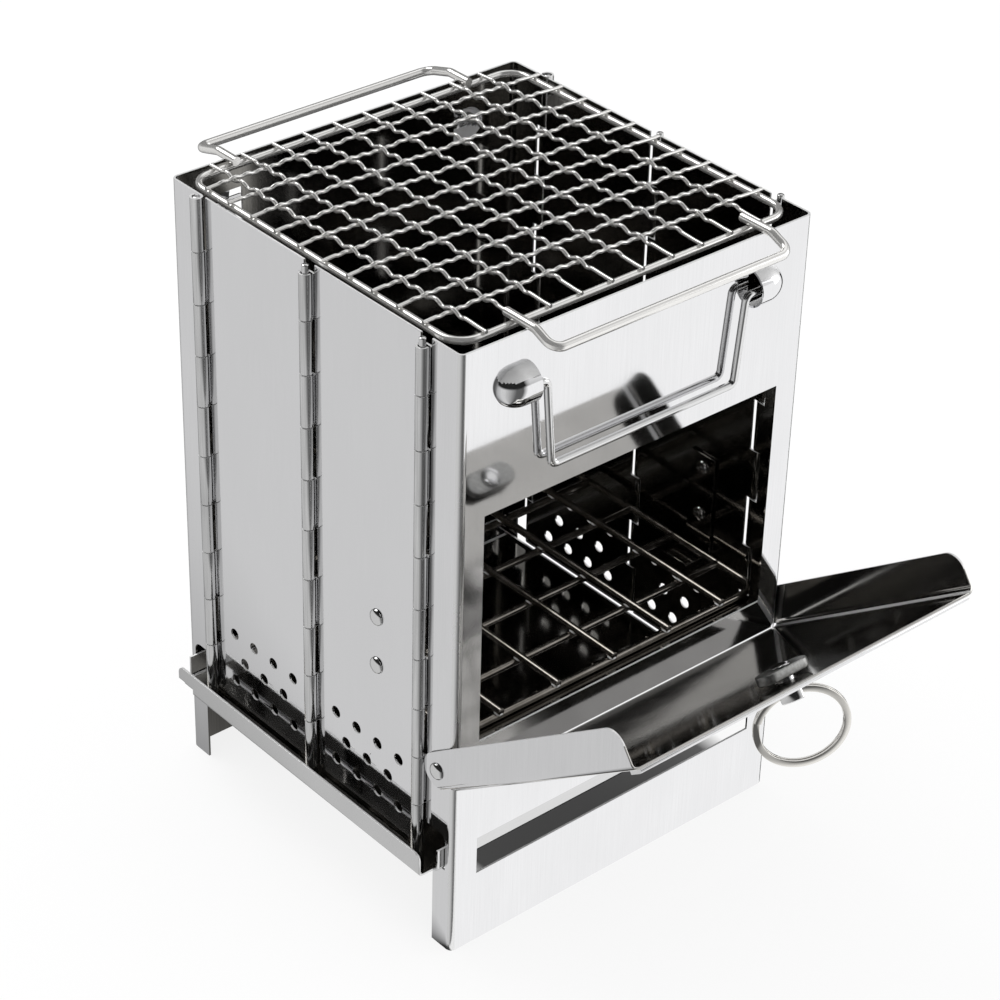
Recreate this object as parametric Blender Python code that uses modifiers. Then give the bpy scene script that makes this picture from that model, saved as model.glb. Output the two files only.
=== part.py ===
"""Folding sheet-metal camping wood stove, as an assembly of separate pieces.

Units are metres and +Z is up. The origin is the middle of the front panel's foot edge,
so the stove stands on z = 0, its front face looks along -Y and its back panel is at +Y.
The fire door is open on its stop, the bails hang and the latch is turned to free the door.
"""
import math

import bmesh
import bpy
from mathutils import Matrix, Vector

# Box: outer width, depth and height, and the sheet that it is folded from
BOX_WIDTH = 0.140
BOX_DEPTH = 0.140
BOX_HEIGHT = 0.220
SHEET = 0.0007
BEND_RADIUS = 0.0022
CLEARANCE = 0.0003

# Piano hinges on the sides
PIN_DIAMETER = 0.0022
PIN_SHOWS = 0.0028
HINGE_SETBACK = 0.0154
KNUCKLE_GAP = 0.0004
KNUCKLE_COUNT = 10
CURL_ANGLE = math.radians(292)

# Ash tray, and the gaps that the panels and leaves leave round it
TRAY_FLOOR = 0.0320
TRAY_LIP_HEIGHT = 0.0085
TRAY_OVERHANG = 0.0087
TRAY_EDGE_RADIUS = 0.0016
TRAY_SIDE_GAP = 0.0030
LEAF_GAP = 0.0013
NOTCH_GAP = 0.0050
NOTCH_CORNER_RADIUS = 0.0030

# Front and back panels
LEG_FLANGE = 0.0093
DOOR_OPENING_MARGIN = 0.0100
DOOR_OPENING_BOTTOM = 0.0798
DOOR_OPENING_BELOW_TOP = 0.0575
SILL_DEPTH = 0.0090
SLOT_MARGIN = 0.0102
SLOT_BELOW_TRAY = 0.0045
SLOT_HEIGHT = 0.0142

# Side leaves: air holes in rows, and the rivets that hold the grate brackets
VENT_DIAMETER = 0.0041
VENT_PITCH = 0.0106
VENT_ROW_PITCH = 0.0094
VENT_RISE = 0.0087
VENT_ROWS = (4, 3, 4)
RIVET_SHANK = 0.0030
RIVET_HEAD_LIP = 0.0014
RIVET_HEAD_HEIGHT = 0.0015
RIVET_TAIL_LIP = 0.0010
RIVET_TAIL_HEIGHT = 0.0008
LEAF_RIVET_SHIFT = 0.0050
LEAF_RIVET_RISE = 0.0129
LEAF_RIVET_SPACING = 0.0182

# Fire door, a pan whose side flanges run outside the front panel's flanges
DOOR_PIVOT_SETBACK = 0.0067
DOOR_PIVOT_DROP = 0.0101
DOOR_OVERLAP = 0.0072
DOOR_EAR_GAP = 0.0004
DOOR_OPEN_ANGLE = math.radians(54.3)
DOOR_CORNER_RADIUS = 0.0060
DOOR_HEM_WIDTH = 0.0052
DOOR_HEM_THICKNESS = 0.0021

# Door latch and its key ring
CAM_LENGTH = 0.0190
CAM_WIDTH = 0.0080
CAM_THICKNESS = 0.0030
CAM_TOP_GAP = 0.0008
LATCH_NECK_DIAMETER = 0.0060
LATCH_HEAD_LIP = 0.00175
LATCH_HEAD_FLATS = 0.0070
LATCH_TAIL_STEP = 0.0008
LATCH_RIVET_LIP = 0.0011
LATCH_RIVET_HEIGHT = 0.0008
RING_RADIUS = 0.0141
RING_BAND = 0.0022
RING_TURN_THICKNESS = 0.0009
RING_TURN_GAP = 0.00042
RING_PLAY = 0.00088
RING_HOLE_WALL = 0.0007
RING_HOLE_ANGLE = math.radians(35.6)
RING_STEP_ANGLE = math.radians(-150)

# Bails and the half-round lugs that carry them
BAIL_WIRE = 0.0025
BAIL_BELOW_TOP = 0.0170
BAIL_DROP = 0.0300
BAIL_INSET = 0.0300
BAIL_TAPER = 0.0028
BAIL_GAP = 0.00175
BAIL_PIN_LENGTH = 0.0120
BAIL_CORNER_RADIUS = 0.00225
LUG_GAP = 0.0013
LUG_BARE_WIRE = 0.0020
LUG_LENGTH = 0.0060
LUG_NOSE = 0.0092

# Fire grate and what it rests on
GRATE_WIRE = 0.0025
GRATE_SIDE_GAP = 0.00355
GRATE_FRONT_GAP = 0.0036
GRATE_BACK_GAP = 0.0105
GRATE_CORNER_RADIUS = 0.0070
GRATE_LONG_WIRES = 5
GRATE_LONG_EDGE = 0.0171
GRATE_CROSS_WIRES = 5
GRATE_CROSS_EDGE = 0.0182
GRATE_WELD = 0.0004
BRACKET_WIDTH = 0.0116
BRACKET_LEDGE = 0.0056
BRACKET_RIM = 0.0050
BRACKET_BEND = 0.0007
BRACKET_DROP = 0.0005
BACK_TAB_WIDTH = 0.0120
BACK_TAB_SPACING = 0.0600

# Grill of crimped wires, lying a little off centre, with two handles that rest on the top edges
GRILL_FRAME_WIRE = 0.0025
GRILL_GAP = 0.0033
GRILL_SHIFT_RIGHT = 0.0005
GRILL_SHIFT_BACK = 0.0016
GRILL_CORNER_RADIUS = 0.0075
GRILL_MESH_WIRE = 0.0017
GRILL_LONG_WIRES = 10
GRILL_LONG_EDGE = 0.0103
GRILL_CROSS_WIRES = 10
GRILL_CROSS_EDGE = 0.0123
GRILL_WIRE_OVERHANG = 0.0022
HANDLE_WIRE = 0.0030
HANDLE_BESIDE_WIRE = 0.00475
HANDLE_REACH = 0.0180
HANDLE_DROP = 0.0033
HANDLE_INSET = 0.0030
HANDLE_CORNER_RADIUS = 0.0050

# Places that follow from the sizes above
HALF_WIDTH = BOX_WIDTH / 2
FRONT_FACE = -SHEET / 2
BACK_FACE = BOX_DEPTH - SHEET / 2
BACK_MIDDLE = BOX_DEPTH - SHEET
CENTRE_Y = BACK_MIDDLE / 2
WALL_X = HALF_WIDTH - SHEET / 2
INNER_X = HALF_WIDTH - SHEET
BEND = BEND_RADIUS - SHEET / 2
KNUCKLE_RADIUS = PIN_DIAMETER / 2 + CLEARANCE + SHEET
HINGE_X = INNER_X + KNUCKLE_RADIUS
HINGE_FRONT = FRONT_FACE + HINGE_SETBACK
HINGE_BACK = BACK_FACE - HINGE_SETBACK
HINGE_YS = {"front": HINGE_FRONT, "middle": CENTRE_Y, "rear": HINGE_BACK}
LEAF_BOTTOM = TRAY_FLOOR + SHEET + LEAF_GAP
KNUCKLE_PITCH = (BOX_HEIGHT - LEAF_BOTTOM) / KNUCKLE_COUNT
NOTCH_TOP = TRAY_FLOOR + TRAY_LIP_HEIGHT + NOTCH_GAP
SEAT_Z = DOOR_OPENING_BOTTOM - SHEET
DOOR_OPENING_TOP = BOX_HEIGHT - DOOR_OPENING_BELOW_TOP
LEAF_RIVET_Y = (HINGE_FRONT + CENTRE_Y) / 2 - LEAF_RIVET_SHIFT
LEAF_RIVET_HEIGHTS = (SEAT_Z + LEAF_RIVET_RISE, SEAT_Z + LEAF_RIVET_RISE + LEAF_RIVET_SPACING)
RIVET_HOLE_RADIUS = RIVET_SHANK / 2 + CLEARANCE
TALL = BOX_HEIGHT * 2

DOOR_PIVOT = Vector((0, FRONT_FACE + DOOR_PIVOT_SETBACK, DOOR_OPENING_BOTTOM - DOOR_PIVOT_DROP))
DOOR_LENGTH = DOOR_OPENING_TOP + DOOR_OVERLAP - DOOR_PIVOT.z
DOOR_EAR_RADIUS = HINGE_SETBACK - DOOR_PIVOT_SETBACK - KNUCKLE_RADIUS - DOOR_EAR_GAP
DOOR_INNER = -(DOOR_PIVOT_SETBACK + CLEARANCE)
DOOR_OUTER = DOOR_INNER - SHEET
DOOR_START = -DOOR_INNER * (1 - math.cos(DOOR_OPEN_ANGLE)) / math.sin(DOOR_OPEN_ANGLE)
DOOR_WALL_X = HALF_WIDTH + CLEARANCE + SHEET / 2
DOOR_TURN = Matrix.Translation(DOOR_PIVOT) @ Matrix.Rotation(DOOR_OPEN_ANGLE, 4, "X")
LATCH_REACH = DOOR_OPENING_TOP - CAM_TOP_GAP - CAM_WIDTH / 2 - DOOR_PIVOT.z
RING_TURN_PITCH = RING_TURN_THICKNESS + RING_TURN_GAP
RING_HOLE_DIAMETER = math.hypot(RING_BAND, RING_TURN_PITCH + RING_TURN_THICKNESS) + RING_PLAY

BAIL_HEIGHT = BOX_HEIGHT - BAIL_BELOW_TOP
BAIL_HALF_WIDTH = HALF_WIDTH - BAIL_INSET
BAIL_STANDOFF = BAIL_WIRE / 2 + BAIL_GAP
LUG_RADIUS = SHEET / 2 + BAIL_STANDOFF + BAIL_WIRE / 2 + LUG_GAP + SHEET
LUG_INNER_END = BAIL_HALF_WIDTH + LUG_BARE_WIRE
LUG_SHOULDER = LUG_INNER_END + LUG_LENGTH
LUG_OUTER_END = LUG_SHOULDER + LUG_NOSE

GRATE_HALF_WIDTH = INNER_X - GRATE_SIDE_GAP - GRATE_WIRE / 2
GRATE_FRONT = FRONT_FACE + SHEET + GRATE_FRONT_GAP + GRATE_WIRE / 2
GRATE_BACK = BACK_FACE - SHEET - GRATE_BACK_GAP - GRATE_WIRE / 2
GRILL_HALF_WIDTH = INNER_X - GRILL_GAP - GRILL_FRAME_WIRE / 2
GRILL_HALF_DEPTH = BOX_DEPTH / 2 - SHEET - GRILL_GAP - GRILL_FRAME_WIRE / 2

STEEL = (0.72, 0.72, 0.73)


def clear_scene():
    for item in list(bpy.data.objects):
        bpy.data.objects.remove(item, do_unlink=True)


def make_collection(name):
    collection = bpy.data.collections.new(name)
    bpy.context.scene.collection.children.link(collection)
    return collection


def steel(name, colour=STEEL, roughness=0.12):
    """One polished stainless steel for one sub-part."""
    material = bpy.data.materials.new(name)
    material.use_nodes = True
    shader = material.node_tree.nodes["Principled BSDF"]
    shader.inputs["Base Color"].default_value = (*colour, 1)
    shader.inputs["Metallic"].default_value = 1.0
    shader.inputs["Roughness"].default_value = roughness
    return material


def add_object(name, mesh, collection, material=None):
    item = bpy.data.objects.new(name, mesh)
    collection.objects.link(item)
    if material:
        mesh.materials.append(material)
    return item


def mesh_from(name, bm):
    mesh = bpy.data.meshes.new(name)
    bm.to_mesh(mesh)
    bm.free()
    return mesh


def shade_round(item, angle=40):
    item.data.shade_smooth()
    item.data.set_sharp_from_angle(angle=math.radians(angle))


def as_cutter(item):
    item.hide_render = True
    item.display_type = "WIRE"
    return item


def add_box(bm, low, high):
    """A box between two corners, added to a mesh under construction."""
    size = [b - a for a, b in zip(low, high)]
    middle = [(a + b) / 2 for a, b in zip(low, high)]
    place = Matrix.Translation(middle) @ Matrix.Diagonal((*size, 1))
    bmesh.ops.create_cube(bm, size=1, matrix=place)


def add_rod(bm, start, end, radius, sides=12):
    """A round bar between two points, added to a mesh under construction."""
    start = Vector(start)
    axis = Vector(end) - start
    turn = axis.to_track_quat("Z", "Y").to_matrix().to_4x4()
    place = Matrix.Translation(start + axis / 2) @ turn
    bmesh.ops.create_cone(bm, cap_ends=True, segments=sides, radius1=radius, radius2=radius,
                          depth=axis.length, matrix=place)


def add_outline(bm, points, axis_vector):
    """A flat closed outline pushed along a vector into a solid."""
    base = bm.faces.new([bm.verts.new(p) for p in points])
    result = bmesh.ops.extrude_face_region(bm, geom=[base])
    moved = [v for v in result["geom"] if isinstance(v, bmesh.types.BMVert)]
    bmesh.ops.translate(bm, verts=moved, vec=axis_vector)
    bmesh.ops.recalc_face_normals(bm, faces=bm.faces)


def boolean(item, other, operation):
    modifier = item.modifiers.new(operation.lower(), "BOOLEAN")
    modifier.operation = operation
    modifier.object = other
    modifier.solver = "EXACT"


def cutter_object(name, bm, cutters):
    return as_cutter(add_object(name, mesh_from(name, bm), cutters))


def sheet_strip(name, profile, z_low, z_high, collection, material):
    """A bent sheet: a line seen from above, stood up between two heights and thickened."""
    bm = bmesh.new()
    low = [bm.verts.new((x, y, z_low)) for x, y in profile]
    high = [bm.verts.new((x, y, z_high)) for x, y in profile]
    for i in range(len(profile) - 1):
        bm.faces.new((low[i], low[i + 1], high[i + 1], high[i]))
    item = add_object(name, mesh_from(name, bm), collection, material)
    thicken(item)
    shade_round(item)
    return item


def thicken(item, offset=0.0):
    modifier = item.modifiers.new("sheet", "SOLIDIFY")
    modifier.thickness = SHEET
    modifier.offset = offset
    modifier.use_even_offset = True


def arc(centre, radius, start, end, steps):
    """Points on an arc in a plane, both ends included."""
    return [(centre[0] + radius * math.cos(start + (end - start) * i / steps),
             centre[1] + radius * math.sin(start + (end - start) * i / steps))
            for i in range(steps + 1)]


def curl(y, direction, steps=8):
    """The rolled knuckle at a sheet's edge on the left side, seen from above."""
    radius = KNUCKLE_RADIUS - SHEET / 2
    return arc((-HINGE_X, y), radius, 0, direction * CURL_ANGLE, steps)


def spread(first, last, count):
    """Evenly spaced places from the first to the last."""
    return [first + (last - first) * k / (count - 1) for k in range(count)]


def rounded_path(points, radius, closed=False, steps=4):
    """A polyline whose corners are replaced by arcs, for bent wire."""
    corners = [Vector(p) for p in points]
    count = len(corners)
    path = []
    for i, corner in enumerate(corners):
        if not closed and i in (0, count - 1):
            path.append(corner)
            continue
        before = (corners[i - 1] - corner).normalized()
        after = (corners[(i + 1) % count] - corner).normalized()
        half = before.angle(after) / 2
        centre = corner + (before + after).normalized() * (radius / math.sin(half))
        first = corner + before * (radius / math.tan(half)) - centre
        last = corner + after * (radius / math.tan(half)) - centre
        turn = first.rotation_difference(last)
        for k in range(steps + 1):
            part = turn.copy()
            part.angle = turn.angle * k / steps
            path.append(centre + part @ first)
    return path


def solid_from_curve(name, curve_object, collection, material):
    """A curve's tube as a closed mesh, with its caps welded on."""
    bpy.context.view_layer.update()
    graph = bpy.context.evaluated_depsgraph_get()
    mesh = bpy.data.meshes.new_from_object(curve_object.evaluated_get(graph))
    bm = bmesh.new()
    bm.from_mesh(mesh)
    bmesh.ops.remove_doubles(bm, verts=bm.verts, dist=0.00001)
    bmesh.ops.recalc_face_normals(bm, faces=bm.faces)
    bm.to_mesh(mesh)
    bm.free()
    mesh.name = name
    item = add_object(name, mesh, collection, material)
    item.matrix_world = curve_object.matrix_world
    shade_round(item, 50)
    bpy.data.objects.remove(curve_object, do_unlink=True)
    return item


def wire(name, points, diameter, collection, material=None, closed=False, resolution=1):
    """Round wire along a list of points."""
    data = bpy.data.curves.new(name, "CURVE")
    data.dimensions = "3D"
    data.bevel_depth = diameter / 2
    data.bevel_resolution = resolution
    data.use_fill_caps = not closed
    spline = data.splines.new("POLY")
    spline.points.add(len(points) - 1)
    for place, point in zip(spline.points, points):
        place.co = (*point, 1)
    spline.use_cyclic_u = closed
    item = bpy.data.objects.new(name + "_curve", data)
    collection.objects.link(item)
    return solid_from_curve(name, item, collection, material)


def turned(name, profile, collection, material, steps=16):
    """A turned piece: radius and height pairs, from the top of the axis down its outside."""
    bm = bmesh.new()
    verts = [bm.verts.new((radius, 0, height)) for radius, height in profile]
    for i in range(len(verts) - 1):
        bm.edges.new((verts[i], verts[i + 1]))
    item = add_object(name, mesh_from(name, bm), collection, material)
    screw = item.modifiers.new("turn", "SCREW")
    screw.axis = "Z"
    screw.steps = steps
    screw.render_steps = steps
    screw.use_merge_vertices = True
    screw.merge_threshold = 0.00002
    screw.use_smooth_shade = True
    return item


def rivet(name, place, outward, grip_start, grip_end, collection):
    """A dome-headed rivet along X: its head stands outside grip_start, its tail inside grip_end."""
    shank = RIVET_SHANK / 2
    head = shank + RIVET_HEAD_LIP
    tail = shank + RIVET_TAIL_LIP
    top = grip_start + CLEARANCE
    bottom = grip_end - CLEARANCE
    dome = [(head * math.sin(a), top + RIVET_HEAD_HEIGHT * math.cos(a))
            for a in (math.radians(angle) for angle in (0, 30, 60, 90))]
    profile = dome + [(shank, top), (shank, bottom), (tail, bottom),
                      (tail, bottom - RIVET_TAIL_HEIGHT), (0, bottom - RIVET_TAIL_HEIGHT)]
    item = turned(name, profile, collection, steel(name, (0.75, 0.75, 0.76), 0.2), 12)
    item.rotation_euler = (0, outward * math.pi / 2, 0)
    item.location = (0, place[0], place[1])
    return item


def kept_knuckles(bm, side, y, first_kept, inboard, drop=0.0):
    """Boxes that clear the knuckle rows owned by the other leaf.

    side is -1 on the left and 1 on the right; inboard is the direction along Y from the
    hinge line into this sheet; drop is how far the top knuckle ends below the box's top."""
    reach = KNUCKLE_RADIUS + KNUCKLE_GAP
    x_low, x_high = sorted((side * (INNER_X - SHEET), side * (HINGE_X + 2 * KNUCKLE_RADIUS)))
    y_low, y_high = sorted((y + inboard * reach, y - inboard * 2 * reach))
    for row in range(KNUCKLE_COUNT):
        if row % 2 == first_kept:
            continue
        top = BOX_HEIGHT - row * KNUCKLE_PITCH + KNUCKLE_GAP / 2
        bottom = top - KNUCKLE_PITCH - KNUCKLE_GAP
        if row == 0:
            top = TALL
        if row == KNUCKLE_COUNT - 1:
            bottom = -SHEET
        add_box(bm, (x_low, y_low, bottom), (x_high, y_high, top))
    if drop:
        add_box(bm, (x_low, y_low, BOX_HEIGHT - drop), (x_high, y_high, TALL))


def channel_profile():
    """The front panel from above: knuckle, left flange, web, right flange, knuckle."""
    left = list(reversed(curl(HINGE_FRONT, 1)))
    left += arc((-WALL_X + BEND, BEND), BEND, math.pi, 1.5 * math.pi, 4)
    right = [(-x, y) for x, y in reversed(left)]
    return left + right


def lug_pair(bm, radius, inner_end, shoulder, outer_end, sides=14):
    """Two bullet-shaped solids on the bail's axis, their round noses outwards."""
    nose = outer_end - shoulder
    rings = 4
    for side in (-1, 1):
        previous = None
        stations = [(inner_end, radius), (shoulder, radius)]
        for i in range(1, rings):
            angle = math.radians(90) * i / rings
            stations.append((shoulder + nose * math.sin(angle), radius * math.cos(angle)))
        first_ring = None
        for x, ring_radius in stations:
            ring = []
            for k in range(sides):
                turn = 2 * math.pi * k / sides
                ring.append(bm.verts.new((side * x, ring_radius * math.cos(turn),
                                          BAIL_HEIGHT + ring_radius * math.sin(turn))))
            if previous:
                for k in range(sides):
                    bm.faces.new((previous[k], previous[(k + 1) % sides],
                                  ring[(k + 1) % sides], ring[k]))
            else:
                first_ring = ring
            previous = ring
        tip = bm.verts.new((side * outer_end, 0, BAIL_HEIGHT))
        for k in range(sides):
            bm.faces.new((previous[k], previous[(k + 1) % sides], tip))
        bm.faces.new(first_ring)
    bmesh.ops.recalc_face_normals(bm, faces=bm.faces)


def leg_and_notch(bm, side):
    """What is cut from a return flange: behind the narrow leg, and the way in for the tray."""
    x_low, x_high = sorted((side * (INNER_X - SHEET), side * (HINGE_X + 2 * KNUCKLE_RADIUS)))
    leg_y = FRONT_FACE + LEG_FLANGE
    notch_y = FRONT_FACE + SHEET + TRAY_SIDE_GAP - CLEARANCE
    far_y = HINGE_FRONT + HINGE_SETBACK
    seat = TRAY_FLOOR - CLEARANCE
    r = NOTCH_CORNER_RADIUS
    outline = [(far_y, -SHEET), (leg_y, -SHEET), (leg_y, seat), (notch_y, seat)]
    outline += arc((notch_y + r, NOTCH_TOP - r), r, math.pi, math.pi / 2, 4)
    outline += [(far_y, NOTCH_TOP)]
    add_outline(bm, [(x_low, y, z) for y, z in outline], (x_high - x_low, 0, 0))


def panel_solid(name, parts, cutters, has_door):
    """The front or back panel in the front panel's place, facing -Y."""
    panel = sheet_strip(name, channel_profile(), 0, BOX_HEIGHT, parts, steel(name))

    adders = bmesh.new()
    lug_pair(adders, LUG_RADIUS, LUG_INNER_END, LUG_SHOULDER, LUG_OUTER_END)
    half_door = HALF_WIDTH - DOOR_OPENING_MARGIN
    if has_door:
        add_box(adders, (-half_door, -SHEET / 4, SEAT_Z - SHEET), (half_door, SILL_DEPTH, SEAT_Z))
    else:
        tab_reach = BACK_MIDDLE - GRATE_BACK + GRATE_WIRE
        for side in (-1, 1):
            middle = side * BACK_TAB_SPACING / 2
            add_box(adders, (middle - BACK_TAB_WIDTH / 2, -SHEET / 4, SEAT_Z - SHEET),
                    (middle + BACK_TAB_WIDTH / 2, tab_reach, SEAT_Z))
    boolean(panel, cutter_object(name + "_added", adders, cutters), "UNION")

    cuts = bmesh.new()
    lug_pair(cuts, LUG_RADIUS - SHEET, LUG_INNER_END - SHEET, LUG_SHOULDER, LUG_OUTER_END - SHEET)
    boolean(panel, cutter_object(name + "_lug_hollows", cuts, cutters), "DIFFERENCE")

    cuts = bmesh.new()
    for side in (-1, 1):
        kept_knuckles(cuts, side, HINGE_FRONT, 0, -1, PIN_SHOWS if has_door else 0.0)
    boolean(panel, cutter_object(name + "_knuckle_gaps", cuts, cutters), "DIFFERENCE")

    cuts = bmesh.new()
    for side in (-1, 1):
        x_low, x_high = sorted((side * (LUG_INNER_END - SHEET), side * (LUG_OUTER_END + SHEET)))
        add_box(cuts, (x_low, SHEET / 2, BAIL_HEIGHT - LUG_RADIUS - SHEET),
                (x_high, LUG_RADIUS + SHEET, BAIL_HEIGHT + LUG_RADIUS + SHEET))
        leg_and_notch(cuts, side)
    if has_door:
        add_box(cuts, (-half_door, -SHEET, DOOR_OPENING_BOTTOM), (half_door, SHEET, DOOR_OPENING_TOP))
        half_slot = HALF_WIDTH - SLOT_MARGIN
        slot_bottom = TRAY_FLOOR - SLOT_BELOW_TRAY
        add_box(cuts, (-half_slot, -SHEET, slot_bottom), (half_slot, SHEET, slot_bottom + SLOT_HEIGHT))
        for side in (-1, 1):
            add_rod(cuts, (side * (INNER_X - SHEET), DOOR_PIVOT.y, DOOR_PIVOT.z),
                    (side * (HALF_WIDTH + SHEET), DOOR_PIVOT.y, DOOR_PIVOT.z), RIVET_HOLE_RADIUS)
    boolean(panel, cutter_object(name + "_cuts", cuts, cutters), "DIFFERENCE")
    return panel


def side_leaf(name, side, y_front, y_rear, kept_front, kept_rear, riveted, parts, cutters):
    """One of the four folding side walls, with half of the knuckles at each edge."""
    profile = list(reversed(curl(y_front, -1))) + curl(y_rear, 1)
    if side > 0:
        profile = [(-x, y) for x, y in profile]
    leaf = sheet_strip(name, profile, LEAF_BOTTOM, BOX_HEIGHT, parts, steel(name))
    cuts = bmesh.new()
    kept_knuckles(cuts, side, y_front, kept_front, 1)
    kept_knuckles(cuts, side, y_rear, kept_rear, -1, 0.0 if kept_rear else PIN_SHOWS)
    inside = side * (INNER_X - SHEET)
    outside = side * (HALF_WIDTH + SHEET)
    middle = (y_front + y_rear) / 2
    for row, count in enumerate(VENT_ROWS):
        z = LEAF_BOTTOM + VENT_RISE + row * VENT_ROW_PITCH
        for k in range(count):
            y = middle + (k - (count - 1) / 2) * VENT_PITCH
            add_rod(cuts, (inside, y, z), (outside, y, z), VENT_DIAMETER / 2, 8)
    if riveted:
        for z in LEAF_RIVET_HEIGHTS:
            add_rod(cuts, (inside, LEAF_RIVET_Y, z), (outside, LEAF_RIVET_Y, z), RIVET_HOLE_RADIUS)
    boolean(leaf, cutter_object(name + "_cuts", cuts, cutters), "DIFFERENCE")
    return leaf


def build_box(parts, cutters):
    """Panels, side leaves and hinge pins."""
    panel_solid("front_panel", parts, cutters, True)
    back = panel_solid("back_panel", parts, cutters, False)
    about = Matrix.Translation((0, CENTRE_Y, 0)) @ Matrix.Rotation(math.pi, 4, "Z")
    about = about @ Matrix.Translation((0, -CENTRE_Y, 0))
    back.matrix_world = about
    for modifier in back.modifiers:
        if modifier.type == "BOOLEAN":
            modifier.object.matrix_world = about
    for word, side in (("left", -1), ("right", 1)):
        side_leaf(word + "_front_leaf", side, HINGE_FRONT, CENTRE_Y, 1, 0, True, parts, cutters)
        side_leaf(word + "_rear_leaf", side, CENTRE_Y, HINGE_BACK, 1, 1, False, parts, cutters)
        for place, y in HINGE_YS.items():
            name = "hinge_pin_" + word + "_" + place
            radius = PIN_DIAMETER / 2
            dome = arc((0, BOX_HEIGHT - radius), radius, math.pi / 2, 0, 3)
            pin = turned(name, dome + [(radius, LEAF_BOTTOM), (0, LEAF_BOTTOM)], parts,
                         steel(name, (0.7, 0.7, 0.7), 0.25), 8)
            pin.location = (side * HINGE_X, y, 0)


def door_envelope(bm):
    """The door's outline from the side, as a solid that the folded pan is trimmed by."""
    r = DOOR_CORNER_RADIUS
    front = DOOR_OUTER - DOOR_HEM_THICKNESS
    outline = [(front, DOOR_START), (front, DOOR_LENGTH)]
    outline += arc((DOOR_EAR_RADIUS - r, DOOR_LENGTH - r), r, math.pi / 2, 0, 5)
    outline += arc((0, 0), DOOR_EAR_RADIUS, 0, -math.pi, 10)
    outline += [(-DOOR_EAR_RADIUS, DOOR_START)]
    reach = DOOR_WALL_X + SHEET
    add_outline(bm, [(-reach, v, u) for v, u in outline], (2 * reach, 0, 0))


def build_door(parts, cutters):
    """The fire door: a pan with two side flanges, closed upright, then opened about its pivot."""
    web = (DOOR_INNER + DOOR_OUTER) / 2
    left = [(-DOOR_WALL_X, DOOR_EAR_RADIUS + SHEET)]
    left += arc((-DOOR_WALL_X + BEND, web + BEND), BEND, math.pi, 1.5 * math.pi, 4)
    profile = left + [(-x, y) for x, y in reversed(left)]
    door = sheet_strip("fire_door", profile, -DOOR_EAR_RADIUS - SHEET, DOOR_LENGTH + SHEET,
                       parts, steel("fire_door"))
    envelope = bmesh.new()
    door_envelope(envelope)
    boolean(door, cutter_object("door_envelope", envelope, cutters), "INTERSECT")

    hem = bmesh.new()
    half = DOOR_WALL_X - BEND_RADIUS
    back = DOOR_INNER - SHEET / 4
    front = DOOR_INNER - DOOR_HEM_THICKNESS
    radius = (back - front) / 2
    low = DOOR_LENGTH - DOOR_HEM_WIDTH
    outline = [(back, low), (front, low)]
    outline += arc((front + radius, DOOR_LENGTH - radius), radius, math.pi, 0, 6)
    add_outline(hem, [(-half, v, u) for v, u in outline], (2 * half, 0, 0))
    boolean(door, cutter_object("door_hem", hem, cutters), "UNION")

    cuts = bmesh.new()
    for side in (-1, 1):
        add_rod(cuts, (side * HALF_WIDTH, 0, 0), (side * (HALF_WIDTH + 4 * SHEET), 0, 0),
                RIVET_HOLE_RADIUS)
    add_rod(cuts, (0, DOOR_OUTER - SHEET, LATCH_REACH), (0, DOOR_INNER + SHEET, LATCH_REACH),
            LATCH_NECK_DIAMETER / 2 + CLEARANCE, 16)
    boolean(door, cutter_object("door_cuts", cuts, cutters), "DIFFERENCE")
    door.matrix_world = DOOR_TURN
    for modifier in door.modifiers:
        if modifier.type == "BOOLEAN":
            modifier.object.matrix_world = DOOR_TURN
    for word, side in (("left", -1), ("right", 1)):
        rivet("door_rivet_" + word, (DOOR_PIVOT.y, DOOR_PIVOT.z), side,
              DOOR_WALL_X + SHEET / 2, INNER_X, parts)


def latch_levels():
    """Heights of the latch along the door's normal: outer end, hole, head, cam and rivet."""
    head = DOOR_OUTER - CLEARANCE
    hole = head - RING_HOLE_WALL - RING_HOLE_DIAMETER / 2
    end = hole - RING_HOLE_DIAMETER / 2 - RING_HOLE_WALL
    cam_low = DOOR_INNER + CLEARANCE + SHEET + CLEARANCE
    cam_high = cam_low + CAM_THICKNESS
    return end, hole, head, cam_low, cam_high


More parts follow.
